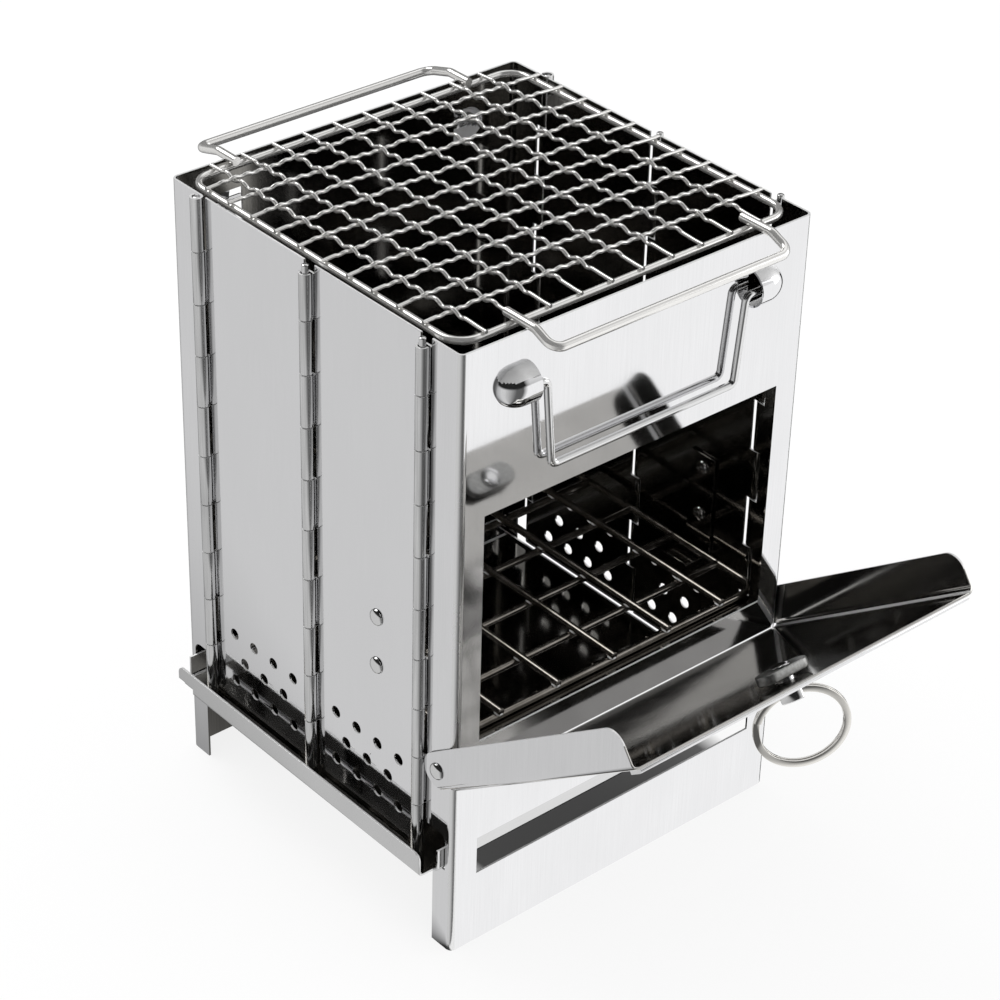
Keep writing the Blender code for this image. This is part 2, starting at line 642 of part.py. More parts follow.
def build_latch(parts, cutters):
    """Turning stem with a cross hole, and the cam that hooks behind the front panel."""
    end, hole, head, cam_low, cam_high = latch_levels()
    neck = LATCH_NECK_DIAMETER / 2
    big = neck + LATCH_HEAD_LIP
    tail = neck - LATCH_TAIL_STEP
    cap = tail + LATCH_RIVET_LIP
    cap_low = cam_high + CLEARANCE
    chamfer = RING_HOLE_WALL / 2
    profile = [(0, cap_low + LATCH_RIVET_HEIGHT), (cap, cap_low + LATCH_RIVET_HEIGHT),
               (cap, cap_low), (tail, cap_low), (tail, cam_low - CLEARANCE),
               (neck, cam_low - CLEARANCE), (neck, head), (big, head),
               (big, end + chamfer), (big - chamfer, end), (0, end)]
    stem = turned("latch_stem", profile, parts, steel("latch_stem", (0.7, 0.7, 0.7), 0.15), 20)
    reach = 2 * big
    bore = bmesh.new()
    add_rod(bore, (-reach, 0, hole), (reach, 0, hole), RING_HOLE_DIAMETER / 2, 12)
    flats = bmesh.new()
    for side in (-1, 1):
        x_low, x_high = sorted((side * LATCH_HEAD_FLATS / 2, side * reach))
        add_box(flats, (x_low, -reach, end - SHEET), (x_high, reach, head + SHEET))
    tools = [cutter_object("latch_flats", flats, cutters), cutter_object("ring_hole", bore, cutters)]
    for tool in tools:
        boolean(stem, tool, "DIFFERENCE")
    # The stem's own axis lies along the door's normal, its hole at an angle across the door
    upright = Matrix.Rotation(-math.pi / 2, 4, "X")
    on_door = DOOR_TURN @ Matrix.Translation((0, 0, LATCH_REACH))
    turned_place = on_door @ Matrix.Rotation(-RING_HOLE_ANGLE, 4, "Y") @ upright
    for item in [stem] + tools:
        item.matrix_world = turned_place

    half = (CAM_LENGTH - CAM_WIDTH) / 2
    radius = CAM_WIDTH / 2
    outline = arc((half, 0), radius, -math.pi / 2, math.pi / 2, 8)
    outline += arc((-half, 0), radius, math.pi / 2, 1.5 * math.pi, 8)
    bm = bmesh.new()
    add_outline(bm, [(x, y, cam_low) for x, y in outline], (0, 0, CAM_THICKNESS))
    cam = add_object("latch_cam", mesh_from("latch_cam", bm), parts,
                     steel("latch_cam", (0.55, 0.55, 0.55), 0.45))
    shade_round(cam)
    cuts = bmesh.new()
    add_rod(cuts, (0, 0, cam_low - SHEET), (0, 0, cam_high + SHEET),
            tail + CLEARANCE, 16)
    tool = cutter_object("cam_hole", cuts, cutters)
    boolean(cam, tool, "DIFFERENCE")
    cam.matrix_world = on_door @ upright
    tool.matrix_world = cam.matrix_world


def ring_frame():
    """The key ring's place: hung through the stem's hole, straight down under its own weight."""
    hole = latch_levels()[1]
    across = DOOR_TURN.to_3x3() @ Vector((math.cos(RING_HOLE_ANGLE), 0, math.sin(RING_HOLE_ANGLE)))
    down = Vector((0, 0, -1))
    down = (down - across * down.dot(across)).normalized()
    place = DOOR_TURN @ Vector((0, hole, LATCH_REACH))
    return place, across, down


def build_ring(parts):
    """A split ring of two flat turns joined by one short step."""
    place, across, down = ring_frame()
    steps = 30
    ramp = 3
    total = 2 * steps - ramp - 1
    points = []
    for k in range(total + 1):
        angle = 2 * math.pi * k / steps
        level = min(max((k - (steps - ramp)) / ramp, 0), 1)
        points.append((RING_RADIUS * math.cos(angle), RING_RADIUS * math.sin(angle),
                       (level - 0.5) * RING_TURN_PITCH))
    section = bpy.data.curves.new("ring_section", "CURVE")
    section.dimensions = "2D"
    spline = section.splines.new("POLY")
    spline.points.add(3)
    half_band = RING_BAND / 2
    half_turn = RING_TURN_THICKNESS / 2
    corners = ((-half_band, -half_turn), (half_band, -half_turn),
               (half_band, half_turn), (-half_band, half_turn))
    for point, corner in zip(spline.points, corners):
        point.co = (corner[0], corner[1], 0, 1)
    spline.use_cyclic_u = True
    section_object = bpy.data.objects.new("ring_section", section)
    parts.objects.link(section_object)

    data = bpy.data.curves.new("key_ring_path", "CURVE")
    data.dimensions = "3D"
    data.twist_mode = "Z_UP"
    data.bevel_mode = "OBJECT"
    data.bevel_object = section_object
    data.use_fill_caps = True
    spline = data.splines.new("POLY")
    spline.points.add(total)
    for point, co in zip(spline.points, points):
        point.co = (*co, 1)
    item = bpy.data.objects.new("key_ring_path", data)
    parts.objects.link(item)
    ring = solid_from_curve("key_ring", item, parts, steel("key_ring", (0.78, 0.76, 0.71), 0.18))
    bpy.data.objects.remove(section_object, do_unlink=True)
    # The band runs through the hole's middle: half its own rise there keeps it off both walls
    rise = (LATCH_HEAD_FLATS / 2) ** 2 / (4 * RING_RADIUS)
    centre = place + down * (RING_RADIUS - rise)
    normal = across.cross(down)
    turn = Matrix((across, down, normal)).transposed().to_4x4()
    step_away = Matrix.Rotation(RING_STEP_ANGLE, 4, "Z")
    ring.matrix_world = Matrix.Translation(centre) @ turn @ step_away


def build_bail(name, y, outward, parts):
    """A hanging wire handle whose bent ends turn in the panel's two lugs."""
    top = BAIL_HALF_WIDTH
    low = top - BAIL_TAPER
    end = top + BAIL_PIN_LENGTH
    path = [(-end, 0, 0), (-top, 0, 0), (-low, 0, -BAIL_DROP),
            (low, 0, -BAIL_DROP), (top, 0, 0), (end, 0, 0)]
    bail = wire(name, rounded_path(path, BAIL_CORNER_RADIUS), BAIL_WIRE, parts, steel(name))
    bail.location = (0, y + outward * BAIL_STANDOFF, BAIL_HEIGHT)


def build_tray(parts):
    """The ash tray: a floor with lips in front, behind and at its outer left end."""
    front = FRONT_FACE + SHEET + TRAY_SIDE_GAP
    back = BACK_FACE - SHEET - TRAY_SIDE_GAP
    left = -(HALF_WIDTH + TRAY_OVERHANG)
    right = INNER_X - 2 * CLEARANCE
    bm = bmesh.new()
    add_box(bm, (left, front, TRAY_FLOOR), (right, back, TRAY_FLOOR + TRAY_LIP_HEIGHT))
    open_faces = [f for f in bm.faces if f.normal.z > 0.5 or f.normal.x > 0.5]
    bmesh.ops.delete(bm, geom=open_faces, context="FACES")
    folded = [e for e in bm.edges if len(e.link_faces) == 2]
    bmesh.ops.bevel(bm, geom=folded, offset=TRAY_EDGE_RADIUS, segments=3, profile=0.5, affect="EDGES")
    tray = add_object("ash_tray", mesh_from("ash_tray", bm), parts, steel("ash_tray"))
    thicken(tray, -1.0)
    shade_round(tray)


def build_grate(parts, cutters):
    """Welded wire grate: a frame, cross wires level with it and long wires on top."""
    half_x = GRATE_HALF_WIDTH
    front = GRATE_FRONT
    back = GRATE_BACK
    z = SEAT_Z + CLEARANCE + GRATE_WIRE / 2
    corners = [(-half_x, front, z), (half_x, front, z), (half_x, back, z), (-half_x, back, z)]
    grate = wire("grate", rounded_path(corners, GRATE_CORNER_RADIUS, True), GRATE_WIRE, parts,
                 steel("grate", (0.42, 0.40, 0.38), 0.35), closed=True)
    upper = z + GRATE_WIRE - GRATE_WELD
    runs = []
    for y in spread(front + GRATE_CROSS_EDGE, back - GRATE_CROSS_EDGE, GRATE_CROSS_WIRES):
        runs.append(((-half_x, y, z), (half_x, y, z)))
    for x in spread(-half_x + GRATE_LONG_EDGE, half_x - GRATE_LONG_EDGE, GRATE_LONG_WIRES):
        runs.append(((x, front - GRATE_WIRE / 4, upper), (x, back + GRATE_WIRE / 4, upper)))
    for number, (start, end) in enumerate(runs):
        bm = bmesh.new()
        add_rod(bm, start, end, GRATE_WIRE / 2, 6)
        boolean(grate, cutter_object("grate_wire_%02d" % number, bm, cutters), "UNION")


def build_brackets(parts, cutters):
    """Two riveted brackets inside the front leaves that carry the grate's side rails."""
    y = LEAF_RIVET_Y
    top = LEAF_RIVET_HEIGHTS[-1] + BRACKET_RIM
    wall = INNER_X - CLEARANCE - SHEET / 2
    ledge = GRATE_HALF_WIDTH - GRATE_WIRE / 2 - BRACKET_LEDGE
    seat = SEAT_Z - BRACKET_DROP - SHEET / 2
    for word, side in (("left", -1), ("right", 1)):
        name = "grate_bracket_" + word
        outline = [(wall, top)]
        outline += arc((wall - BRACKET_BEND, seat + BRACKET_BEND), BRACKET_BEND, 0, -math.pi / 2, 4)
        outline += [(ledge, seat)]
        bm = bmesh.new()
        near = [bm.verts.new((side * x, y - BRACKET_WIDTH / 2, z)) for x, z in outline]
        far = [bm.verts.new((side * x, y + BRACKET_WIDTH / 2, z)) for x, z in outline]
        for i in range(len(outline) - 1):
            bm.faces.new((near[i], near[i + 1], far[i + 1], far[i]))
        bracket = add_object(name, mesh_from(name, bm), parts, steel(name))
        thicken(bracket)
        shade_round(bracket)
        cuts = bmesh.new()
        for z in LEAF_RIVET_HEIGHTS:
            add_rod(cuts, (side * (wall - SHEET), y, z), (side * (wall + SHEET), y, z),
                    RIVET_HOLE_RADIUS)
        boolean(bracket, cutter_object(name + "_holes", cuts, cutters), "DIFFERENCE")
        for level, z in zip(("lower", "upper"), LEAF_RIVET_HEIGHTS):
            rivet("leaf_rivet_%s_%s" % (word, level), (y, z), side, HALF_WIDTH,
                  wall - SHEET / 2, parts)


def crimped(crossings, phase, reach, height):
    """Heights along one woven wire: over one crossing wire and under the next."""
    points = [(-reach, 0)]
    for k, middle in enumerate(crossings):
        level = height if (k + phase) % 2 else -height
        points += [(middle - GRILL_MESH_WIRE, level), (middle + GRILL_MESH_WIRE, level)]
    points.append((reach, 0))
    return points


def build_grill(parts):
    """The cooking grill: frame, woven wires laid on it and two handles over the top edges."""
    centre = Vector((GRILL_SHIFT_RIGHT, CENTRE_Y + GRILL_SHIFT_BACK, 0))
    half_x = GRILL_HALF_WIDTH
    half_y = GRILL_HALF_DEPTH
    handle_z = BOX_HEIGHT + CLEARANCE + HANDLE_WIRE / 2
    frame_z = handle_z - HANDLE_WIRE / 2 - CLEARANCE - GRILL_FRAME_WIRE / 2
    mesh_z = frame_z + GRILL_FRAME_WIRE / 2 + CLEARANCE + GRILL_MESH_WIRE / 2
    crimp = GRILL_MESH_WIRE / 2 + CLEARANCE / 2

    corners = [(-half_x, -half_y, 0), (half_x, -half_y, 0), (half_x, half_y, 0), (-half_x, half_y, 0)]
    frame = wire("grill_frame", rounded_path(corners, GRILL_CORNER_RADIUS, True), GRILL_FRAME_WIRE,
                 parts, steel("grill_frame"), closed=True)
    frame.location = centre + Vector((0, 0, frame_z))

    long_x = spread(-half_x + GRILL_LONG_EDGE, half_x - GRILL_LONG_EDGE, GRILL_LONG_WIRES)
    cross_y = spread(-half_y + GRILL_CROSS_EDGE, half_y - GRILL_CROSS_EDGE, GRILL_CROSS_WIRES)
    for k, y in enumerate(cross_y):
        points = crimped(long_x, k, half_x + GRILL_WIRE_OVERHANG, crimp)
        name = "grill_cross_wire_%02d" % (k + 1)
        item = wire(name, [(s, 0, z) for s, z in points], GRILL_MESH_WIRE, parts, steel(name),
                    resolution=0)
        item.location = centre + Vector((0, y, mesh_z))
    for k, x in enumerate(long_x):
        points = crimped(cross_y, k + 1, half_y + GRILL_WIRE_OVERHANG, crimp)
        name = "grill_long_wire_%02d" % (k + 1)
        item = wire(name, [(0, s, z) for s, z in points], GRILL_MESH_WIRE, parts, steel(name),
                    resolution=0)
        item.location = centre + Vector((x, 0, mesh_z))

    half = long_x[-2] + HANDLE_BESIDE_WIRE
    for word, side, panel_y in (("front", -1, FRONT_FACE), ("rear", 1, BACK_FACE)):
        rail = centre.y + side * half_y
        inner = rail - side * HANDLE_INSET
        outer = rail + side * HANDLE_REACH
        bend = panel_y + side * HANDLE_WIRE
        low = handle_z - HANDLE_DROP
        path = [(-half, inner, handle_z), (-half, bend, handle_z), (-half, outer, low),
                (half, outer, low), (half, bend, handle_z), (half, inner, handle_z)]
        points = rounded_path([Vector(p) - Vector((0, rail, handle_z)) for p in path],
                              HANDLE_CORNER_RADIUS)
        name = "grill_handle_" + word
        handle = wire(name, points, HANDLE_WIRE, parts, steel(name))
        handle.location = (centre.x, rail, handle_z)


def main():
    clear_scene()
    parts = make_collection("camping_wood_stove")
    cutters = make_collection("cutters")
    build_box(parts, cutters)
    build_door(parts, cutters)
    build_latch(parts, cutters)
    build_ring(parts)
    build_bail("front_bail", FRONT_FACE, -1, parts)
    build_bail("rear_bail", BACK_FACE, 1, parts)
    build_tray(parts)
    build_grate(parts, cutters)
    build_brackets(parts, cutters)
    build_grill(parts)


main()
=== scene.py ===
"""The looks of a folding camping wood stove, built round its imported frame.

Units are metres. The stove stands on z = 0, its front looks along -Y and its left side, with
the ash tray's lip, along -X. Every piece is made in place, at the origin, unturned.
"""
from math import copysign, cos, pi, radians, sin

import bmesh
import bpy
from mathutils import Matrix, Vector


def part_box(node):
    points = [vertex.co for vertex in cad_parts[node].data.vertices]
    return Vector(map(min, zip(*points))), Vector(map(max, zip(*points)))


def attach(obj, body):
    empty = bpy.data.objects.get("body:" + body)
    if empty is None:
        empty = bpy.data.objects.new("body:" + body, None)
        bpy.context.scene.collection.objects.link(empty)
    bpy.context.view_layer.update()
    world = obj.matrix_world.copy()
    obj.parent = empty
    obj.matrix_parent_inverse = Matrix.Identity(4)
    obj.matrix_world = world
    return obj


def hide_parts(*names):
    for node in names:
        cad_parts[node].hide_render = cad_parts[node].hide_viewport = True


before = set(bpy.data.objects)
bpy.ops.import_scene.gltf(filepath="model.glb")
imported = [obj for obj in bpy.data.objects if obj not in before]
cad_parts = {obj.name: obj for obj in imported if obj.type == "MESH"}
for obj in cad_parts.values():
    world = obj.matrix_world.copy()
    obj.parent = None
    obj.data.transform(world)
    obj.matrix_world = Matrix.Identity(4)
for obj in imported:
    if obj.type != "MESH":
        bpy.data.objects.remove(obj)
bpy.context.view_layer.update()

# Camera at the photo's viewpoint
CAMERA_PLACE = (-0.53867, -0.55050, 0.64217)
CAMERA_AZIMUTH = radians(-41.37)
CAMERA_ELEVATION = radians(33.01)
CAMERA_ROLL = radians(1.60)
CAMERA_LENS = 107.78
CAMERA_SENSOR = 36

# Studio: what the metal sees. Angles of the flags, in degrees, run from the left towards the front.
HORIZON_FADE = (0.12, 0.30)
STUDIO_BLACK = 0.018
FLAG_LEVELS = ((-180, 0.04), (-110, 0.04), (-70, 0.66), (15, 0.68), (45, 0.40), (70, 0.12),
               (95, 0.12), (113, 1.0))
FLAG_CENTRE = (-0.072, 0.0)
# Painted shadow on the floor under the stove: its middle across, its fall-off across and along, and how dark
# it gets.
SHADE_CENTRE_X = 0.016
SHADE_ACROSS = (0.050, 0.060)
SHADE_ALONG = (0.056, 0.064)
SHADE_DEPTH = 0.95
SOFT_BOXES = (((-0.10, 0.62, 0.78), radians(26), radians(12), 0.4),
              ((0.554, 0.317, 0.77), radians(24), radians(13), 0.95),
              ((0.85, -0.45, 0.35), radians(45), radians(20), 0.8))
WHITE = (1, 1, 1, 1)
FLOOR_GLOW = 0.85
FLOOR_PAPER = 0.9
FLOOR_SIZE = 6
LAMPS = (("overhead", (-0.15, 0.93, 1.17), 0.8, 6.0), ("right", (1.27, -0.67, 0.52), 0.8, 3.0))

SIDES = (("left", -1), ("right", 1))

# Sheet metal
SHEET = 0.0007
CLEARANCE = 0.0003
BEND = 0.00185
SUPPORT = 0.0004
EDGE_ROUNDING = 0.00012
FLAT_WIDTH = 0.0004
EDGE_FACES_UP = 0.6
BENT_TURN = 0.12
CURL_ANGLE = radians(292)
CURL_STEPS = 24
BEND_STEPS = 8
ROUND_STEPS = 32
CORNER_STEPS = 16
QUARTER_STEPS = 6
EDGE_ANGLE = 35
FOLD_ANGLE = 50

# Hinges
KNUCKLE_COUNT = 10
KNUCKLE_GAP = 0.0004
PIN_SHOWS = 0.0028
PIN_DOME = 0.35
PIN_STEPS = 24

# Panels
LEG_FLANGE = 0.0093
TRAY_SIDE_GAP = 0.0030
NOTCH_GAP = 0.0050
NOTCH_CORNER_RADIUS = 0.0030
DOOR_OPENING_MARGIN = 0.0100
SLOT_MARGIN = 0.0102
SLOT_BELOW_TRAY = 0.0045
SLOT_HEIGHT = 0.0142
SILL_DEPTH = 0.0090
BACK_TAB_WIDTH = 0.0120
BACK_TAB_SPACING = 0.0600
BACK_TAB_HOLD = 0.00375

# Side leaves
VENT_DIAMETER = 0.0041
VENT_PITCH = 0.0106
VENT_ROW_PITCH = 0.0094
VENT_RISE = 0.0087
VENT_ROWS = (4, 3, 4)

# Rivets
RIVET_SHANK = 0.0030
RIVET_HEAD_LIP = 0.0014
RIVET_HEAD_HEIGHT = 0.0015
RIVET_TAIL_LIP = 0.0010
RIVET_TAIL_HEIGHT = 0.0008
RIVET_DOME_STEPS = 10
RIVET_STEPS = 40

# Fire door, latch and key ring
DOOR_PIVOT_DROP = 0.0101
DOOR_OPENING_BELOW_TOP = 0.0575
DOOR_OVERLAP = 0.0072
DOOR_EAR_GAP = 0.0004
DOOR_OPEN_ANGLE = radians(54.3)
DOOR_CORNER_RADIUS = 0.0060
DOOR_HEM_WIDTH = 0.0052
DOOR_HEM_THICKNESS = 0.0021
CAM_LENGTH = 0.0190
CAM_WIDTH = 0.0080
CAM_THICKNESS = 0.0030
CAM_TOP_GAP = 0.0008
CAM_ROUNDING = 0.0006
CAM_ROUNDING_STEPS = 4
CAM_END_STEPS = 20
LATCH_NECK_DIAMETER = 0.0060
LATCH_HEAD_LIP = 0.00175
LATCH_HEAD_FLATS = 0.0070
LATCH_TAIL_STEP = 0.0008
LATCH_RIVET_LIP = 0.0011
LATCH_RIVET_HEIGHT = 0.0008
LATCH_ROUNDING = 0.00025
LATCH_EDGE_ANGLE = 40
LATCH_STEPS = 48
RING_RADIUS = 0.0141
RING_BAND = 0.0022
RING_TURN_THICKNESS = 0.0009
RING_TURN_GAP = 0.00012
RING_HOLE_DIAMETER = 0.0040
RING_HOLE_WALL = 0.0007
RING_HOLE_ANGLE = radians(35.6)
RING_STEP_ANGLE = radians(-150)
RING_STEPS = 90
RING_RAMP_STEPS = 9
RING_CORNER_STEPS = 3
RING_CORNER_SHARE = 0.55
RING_EDGE_ANGLE = 60

# Bails and their lugs
BAIL_WIRE = 0.0025
BAIL_BELOW_TOP = 0.0170
BAIL_DROP = 0.0300
BAIL_INSET = 0.0300
BAIL_TAPER = 0.0028
BAIL_GAP = 0.00175
BAIL_PIN_LENGTH = 0.0120
BAIL_CORNER_RADIUS = 0.00225
WIRE_SIDES = 20
WIRE_CORNER_STEPS = 10
LUG_GAP = 0.0013
LUG_BARE_WIRE = 0.0042
LUG_LENGTH = 0.0045
LUG_NOSE = 0.0080
LUG_RINGS = 14
LUG_STEPS = 64

# Ash tray
TRAY_FLOOR = 0.0320
TRAY_LIP_HEIGHT = 0.0085
TRAY_EDGE_RADIUS = 0.0016
TRAY_FREE_LENGTH = 0.0060
TRAY_FREE_EDGE = 0.0019
TRAY_LIP_CORNER = 0.0025
TRAY_CUT_OUT = (0.0080, 0.0034)
TRAY_STOP_HEIGHT = 0.0010

# Fire grate and its brackets
GRATE_WIRE = 0.0025
GRATE_CORNER_RADIUS = 0.0070
GRATE_WIRES = 5
GRATE_LONG_EDGE = 0.0171
GRATE_CROSS_EDGE = 0.0182
GRATE_WELD = 0.0004
GRATE_BEAD = 0.0015
GRATE_BEAD_SHAPE = (1, 1, 0.55)
GRATE_SIDES = 16
GRATE_BEAD_ROUNDS = 2
BRACKET_BEND = 0.0007

# Grill
GRILL_FRAME_WIRE = 0.0025
GRILL_CORNER_RADIUS = 0.0075
GRILL_MESH_WIRE = 0.0013
GRILL_WIRES = 10
GRILL_LONG_EDGE = 0.0103
GRILL_CROSS_EDGE = 0.0123
GRILL_WIRE_OVERHANG = 0.0015
GRILL_LONG_CRIMP = (0.00012, 0.00062, 3)
GRILL_CROSS_CRIMP = (0.00030, 0.00024, 5)
GRILL_RAIL_SPREAD = 0.0014
GRILL_WEAVE_SHIFT = (-0.0023, 0.0014)
GRILL_MESH_STEPS = 260
GRILL_MESH_SIDES = 10
HANDLE_WIRE = 0.0030
HANDLE_BESIDE_WIRE = 0.00475
HANDLE_DROP = 0.0033
HANDLE_INSET = 0.0030
HANDLE_CORNER_RADIUS = 0.0040
HANDLE_SHIFTS = {"front": 0.0015, "rear": -0.0030}

# Surfaces, in cells per metre and metres
LINE_CELLS = 2200
CLOUD_CELLS = 60
WAVE_CELLS = 22
SCRATCH_CELLS = 900
LINE_DEPTH = 0.0000006
TONE_SPAN = (0.1, 0.45)
SCRATCH_SPAN = (0.62, 0.70)


def middle_of(node):
    low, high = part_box(node)
    return (low + high) / 2


# Places that the frame gives
pin_low, pin_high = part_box("hinge_pin_right_front")
PIN_RADIUS = (pin_high.x - pin_low.x) / 2
HINGE_X = middle_of("hinge_pin_right_front").x
HINGE_FRONT = middle_of("hinge_pin_right_front").y
HINGE_MIDDLE = middle_of("hinge_pin_right_middle").y
HINGE_BACK = middle_of("hinge_pin_right_rear").y
BOX_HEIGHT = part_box("back_panel")[1].z
LEAF_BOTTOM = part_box("left_front_leaf")[0].z
KNUCKLE_RADIUS = PIN_RADIUS + CLEARANCE + SHEET
INNER_X = HINGE_X - KNUCKLE_RADIUS
HALF_WIDTH = INNER_X + SHEET
WALL_X = INNER_X + SHEET / 2
FRONT_FACE = -SHEET / 2
HINGE_SETBACK = HINGE_FRONT - FRONT_FACE
BACK_FACE = HINGE_BACK + HINGE_SETBACK
BACK_MIDDLE = BACK_FACE - SHEET / 2
CENTRE_Y = HINGE_MIDDLE
KNUCKLE_PITCH = (BOX_HEIGHT - LEAF_BOTTOM) / KNUCKLE_COUNT
NOTCH_TOP = TRAY_FLOOR + TRAY_LIP_HEIGHT + NOTCH_GAP
RIVET_HOLE_RADIUS = RIVET_SHANK / 2 + CLEARANCE
LEAF_RIVETS = [middle_of("leaf_rivet_right_" + level) for level in ("lower", "upper")]
DOOR_PIVOT = middle_of("door_rivet_right")
DOOR_PIVOT.x = 0
DOOR_OPENING_BOTTOM = DOOR_PIVOT.z + DOOR_PIVOT_DROP
DOOR_OPENING_TOP = BOX_HEIGHT - DOOR_OPENING_BELOW_TOP
SEAT_Z = DOOR_OPENING_BOTTOM - SHEET
DOOR_LENGTH = DOOR_OPENING_TOP + DOOR_OVERLAP - DOOR_PIVOT.z
DOOR_PIVOT_SETBACK = DOOR_PIVOT.y - FRONT_FACE
DOOR_EAR_RADIUS = HINGE_SETBACK - DOOR_PIVOT_SETBACK - KNUCKLE_RADIUS - DOOR_EAR_GAP
DOOR_INNER = -(DOOR_PIVOT_SETBACK + CLEARANCE)
DOOR_OUTER = DOOR_INNER - SHEET
DOOR_START = -DOOR_INNER * (1 - cos(DOOR_OPEN_ANGLE)) / sin(DOOR_OPEN_ANGLE)
DOOR_WALL_X = HALF_WIDTH + CLEARANCE + SHEET / 2
DOOR_TURN = Matrix.Translation(DOOR_PIVOT) @ Matrix.Rotation(DOOR_OPEN_ANGLE, 4, "X")
LATCH_REACH = DOOR_OPENING_TOP - CAM_TOP_GAP - CAM_WIDTH / 2 - DOOR_PIVOT.z
BAIL_HEIGHT = BOX_HEIGHT - BAIL_BELOW_TOP
BAIL_HALF_WIDTH = HALF_WIDTH - BAIL_INSET
BAIL_STANDOFF = BAIL_WIRE / 2 + BAIL_GAP
LUG_RADIUS = SHEET / 2 + BAIL_STANDOFF + BAIL_WIRE / 2 + LUG_GAP + SHEET
LUG_INNER_END = BAIL_HALF_WIDTH + LUG_BARE_WIRE
LUG_SHOULDER = LUG_INNER_END + LUG_LENGTH
LUG_OUTER_END = LUG_SHOULDER + LUG_NOSE
ABOUT = (Matrix.Translation((0, CENTRE_Y, 0)) @ Matrix.Rotation(pi, 4, "Z")
         @ Matrix.Translation((0, -CENTRE_Y, 0)))


def link(item):
    bpy.context.scene.collection.objects.link(item)
    return item


def add_object(name, mesh):
    return link(bpy.data.objects.new(name, mesh))


def object_from(name, bm):
    mesh = bpy.data.meshes.new(name)
    bm.to_mesh(mesh)
    bm.free()
    return add_object(name, mesh)


def evaluated_mesh(item):
    bpy.context.view_layer.update()
    graph = bpy.context.evaluated_depsgraph_get()
    return bpy.data.meshes.new_from_object(item.evaluated_get(graph))


def settle(name, item, place=None, helpers=()):
    """Turns an object with its modifiers into a plain mesh in its place, at the origin."""
    mesh = evaluated_mesh(item)
    mesh.transform((place or Matrix.Identity(4)) @ item.matrix_world)
    for other in (item, *helpers):
        bpy.data.objects.remove(other, do_unlink=True)
    mesh.name = name
    return add_object(name, mesh)


def shade(item, degrees=EDGE_ANGLE):
    item.data.shade_smooth()
    item.data.set_sharp_from_angle(angle=radians(degrees))
    return item


def add_modifier(item, kind, **settings):
    modifier = item.modifiers.new(kind.lower(), kind)
    for key, value in settings.items():
        setattr(modifier, key, value)
    return modifier


def round_edges(item, width=EDGE_ROUNDING, segments=2, degrees=FOLD_ANGLE):
    """Breaks the sharp edges."""
    add_modifier(item, "BEVEL", width=width, segments=segments, limit_method="ANGLE",
                 angle_limit=radians(degrees), use_clamp_overlap=True)


def sheet_part(name, item, tools, place=None):
    """A worked sheet with its edges broken, as a plain mesh. Broad faces stay flat in the shading,
    bends and rounded edges are smooth."""
    round_edges(item)
    item = shade(settle(name, item, place, tools), FOLD_ANGLE)
    mesh = item.data
    for face in mesh.polygons:
        corners = [mesh.vertices[i].co for i in face.vertices]
        edge_length = sum((b - a).length for a, b in zip(corners, corners[1:] + corners[:1]))
        face.use_smooth = face.area < FLAT_WIDTH * edge_length
    return item


def boolean(item, other, operation="DIFFERENCE"):
    """Cuts another object out of a piece, or joins it, and gives the other object back."""
    add_modifier(item, "BOOLEAN", operation=operation, object=other, solver="EXACT")
    other.hide_render = True
    return other


def work(item, bm, operation="DIFFERENCE"):
    """Cuts loose solids out of a piece, or joins them, and gives them back as an object."""
    return boolean(item, object_from("tool", bm), operation)


def thicken(item, offset=0):
    add_modifier(item, "SOLIDIFY", thickness=SHEET, offset=offset, use_even_offset=True)
    return item


def sided(side, near, far):
    """The lower and the higher of two places on the left or right side."""
    return sorted((side * near, side * far))


def add_box(bm, low, high):
    size = [b - a for a, b in zip(low, high)]
    centre = [(a + b) / 2 for a, b in zip(low, high)]
    bmesh.ops.create_cube(bm, size=1, matrix=Matrix.Translation(centre) @ Matrix.Diagonal((*size, 1)))


def add_rod(bm, start, end, radius, sides=ROUND_STEPS):
    start = Vector(start)
    axis = Vector(end) - start
    place = Matrix.Translation(start + axis / 2) @ axis.to_track_quat("Z", "Y").to_matrix().to_4x4()
    bmesh.ops.create_cone(bm, cap_ends=True, segments=sides, radius1=radius, radius2=radius,
                          depth=axis.length, matrix=place)


def rivet_rods(bm, side, places, near=INNER_X - SHEET, far=HALF_WIDTH + SHEET):
    """Rods through the walls of one side, for the holes of rivets."""
    for place in places:
        add_rod(bm, (side * near, place.y, place.z), (side * far, place.y, place.z), RIVET_HOLE_RADIUS)


def add_outline(bm, points, push):
    """A flat closed outline pushed along a vector into a solid."""
    base = bm.faces.new([bm.verts.new(p) for p in points])
    result = bmesh.ops.extrude_face_region(bm, geom=[base])
    moved = [v for v in result["geom"] if isinstance(v, bmesh.types.BMVert)]
    bmesh.ops.translate(bm, verts=moved, vec=push)
    bmesh.ops.recalc_face_normals(bm, faces=bm.faces)


def quarter(steps):
    """Angles from nothing to a right angle."""
    return [pi / 2 * k / steps for k in range(steps + 1)]


def arc(centre, radius, start, end, steps):
    """Points on an arc in a plane, both ends included."""
    return [(centre[0] + radius * cos(start + (end - start) * i / steps),
             centre[1] + radius * sin(start + (end - start) * i / steps))
            for i in range(steps + 1)]


def bent_sheet(name, near, far):
    """A sheet between two lines of points, thickened on both sides."""
    bm = bmesh.new()
    near = [bm.verts.new(p) for p in near]
    far = [bm.verts.new(p) for p in far]
    for i in range(len(near) - 1):
        bm.faces.new((near[i], near[i + 1], far[i + 1], far[i]))
    return thicken(shade(object_from(name, bm)))


def stand_up(name, outline, z_low, z_high):
    """A bent sheet: a line seen from above, stood up between two heights."""
    return bent_sheet(name, [(x, y, z_low) for x, y in outline], [(x, y, z_high) for x, y in outline])


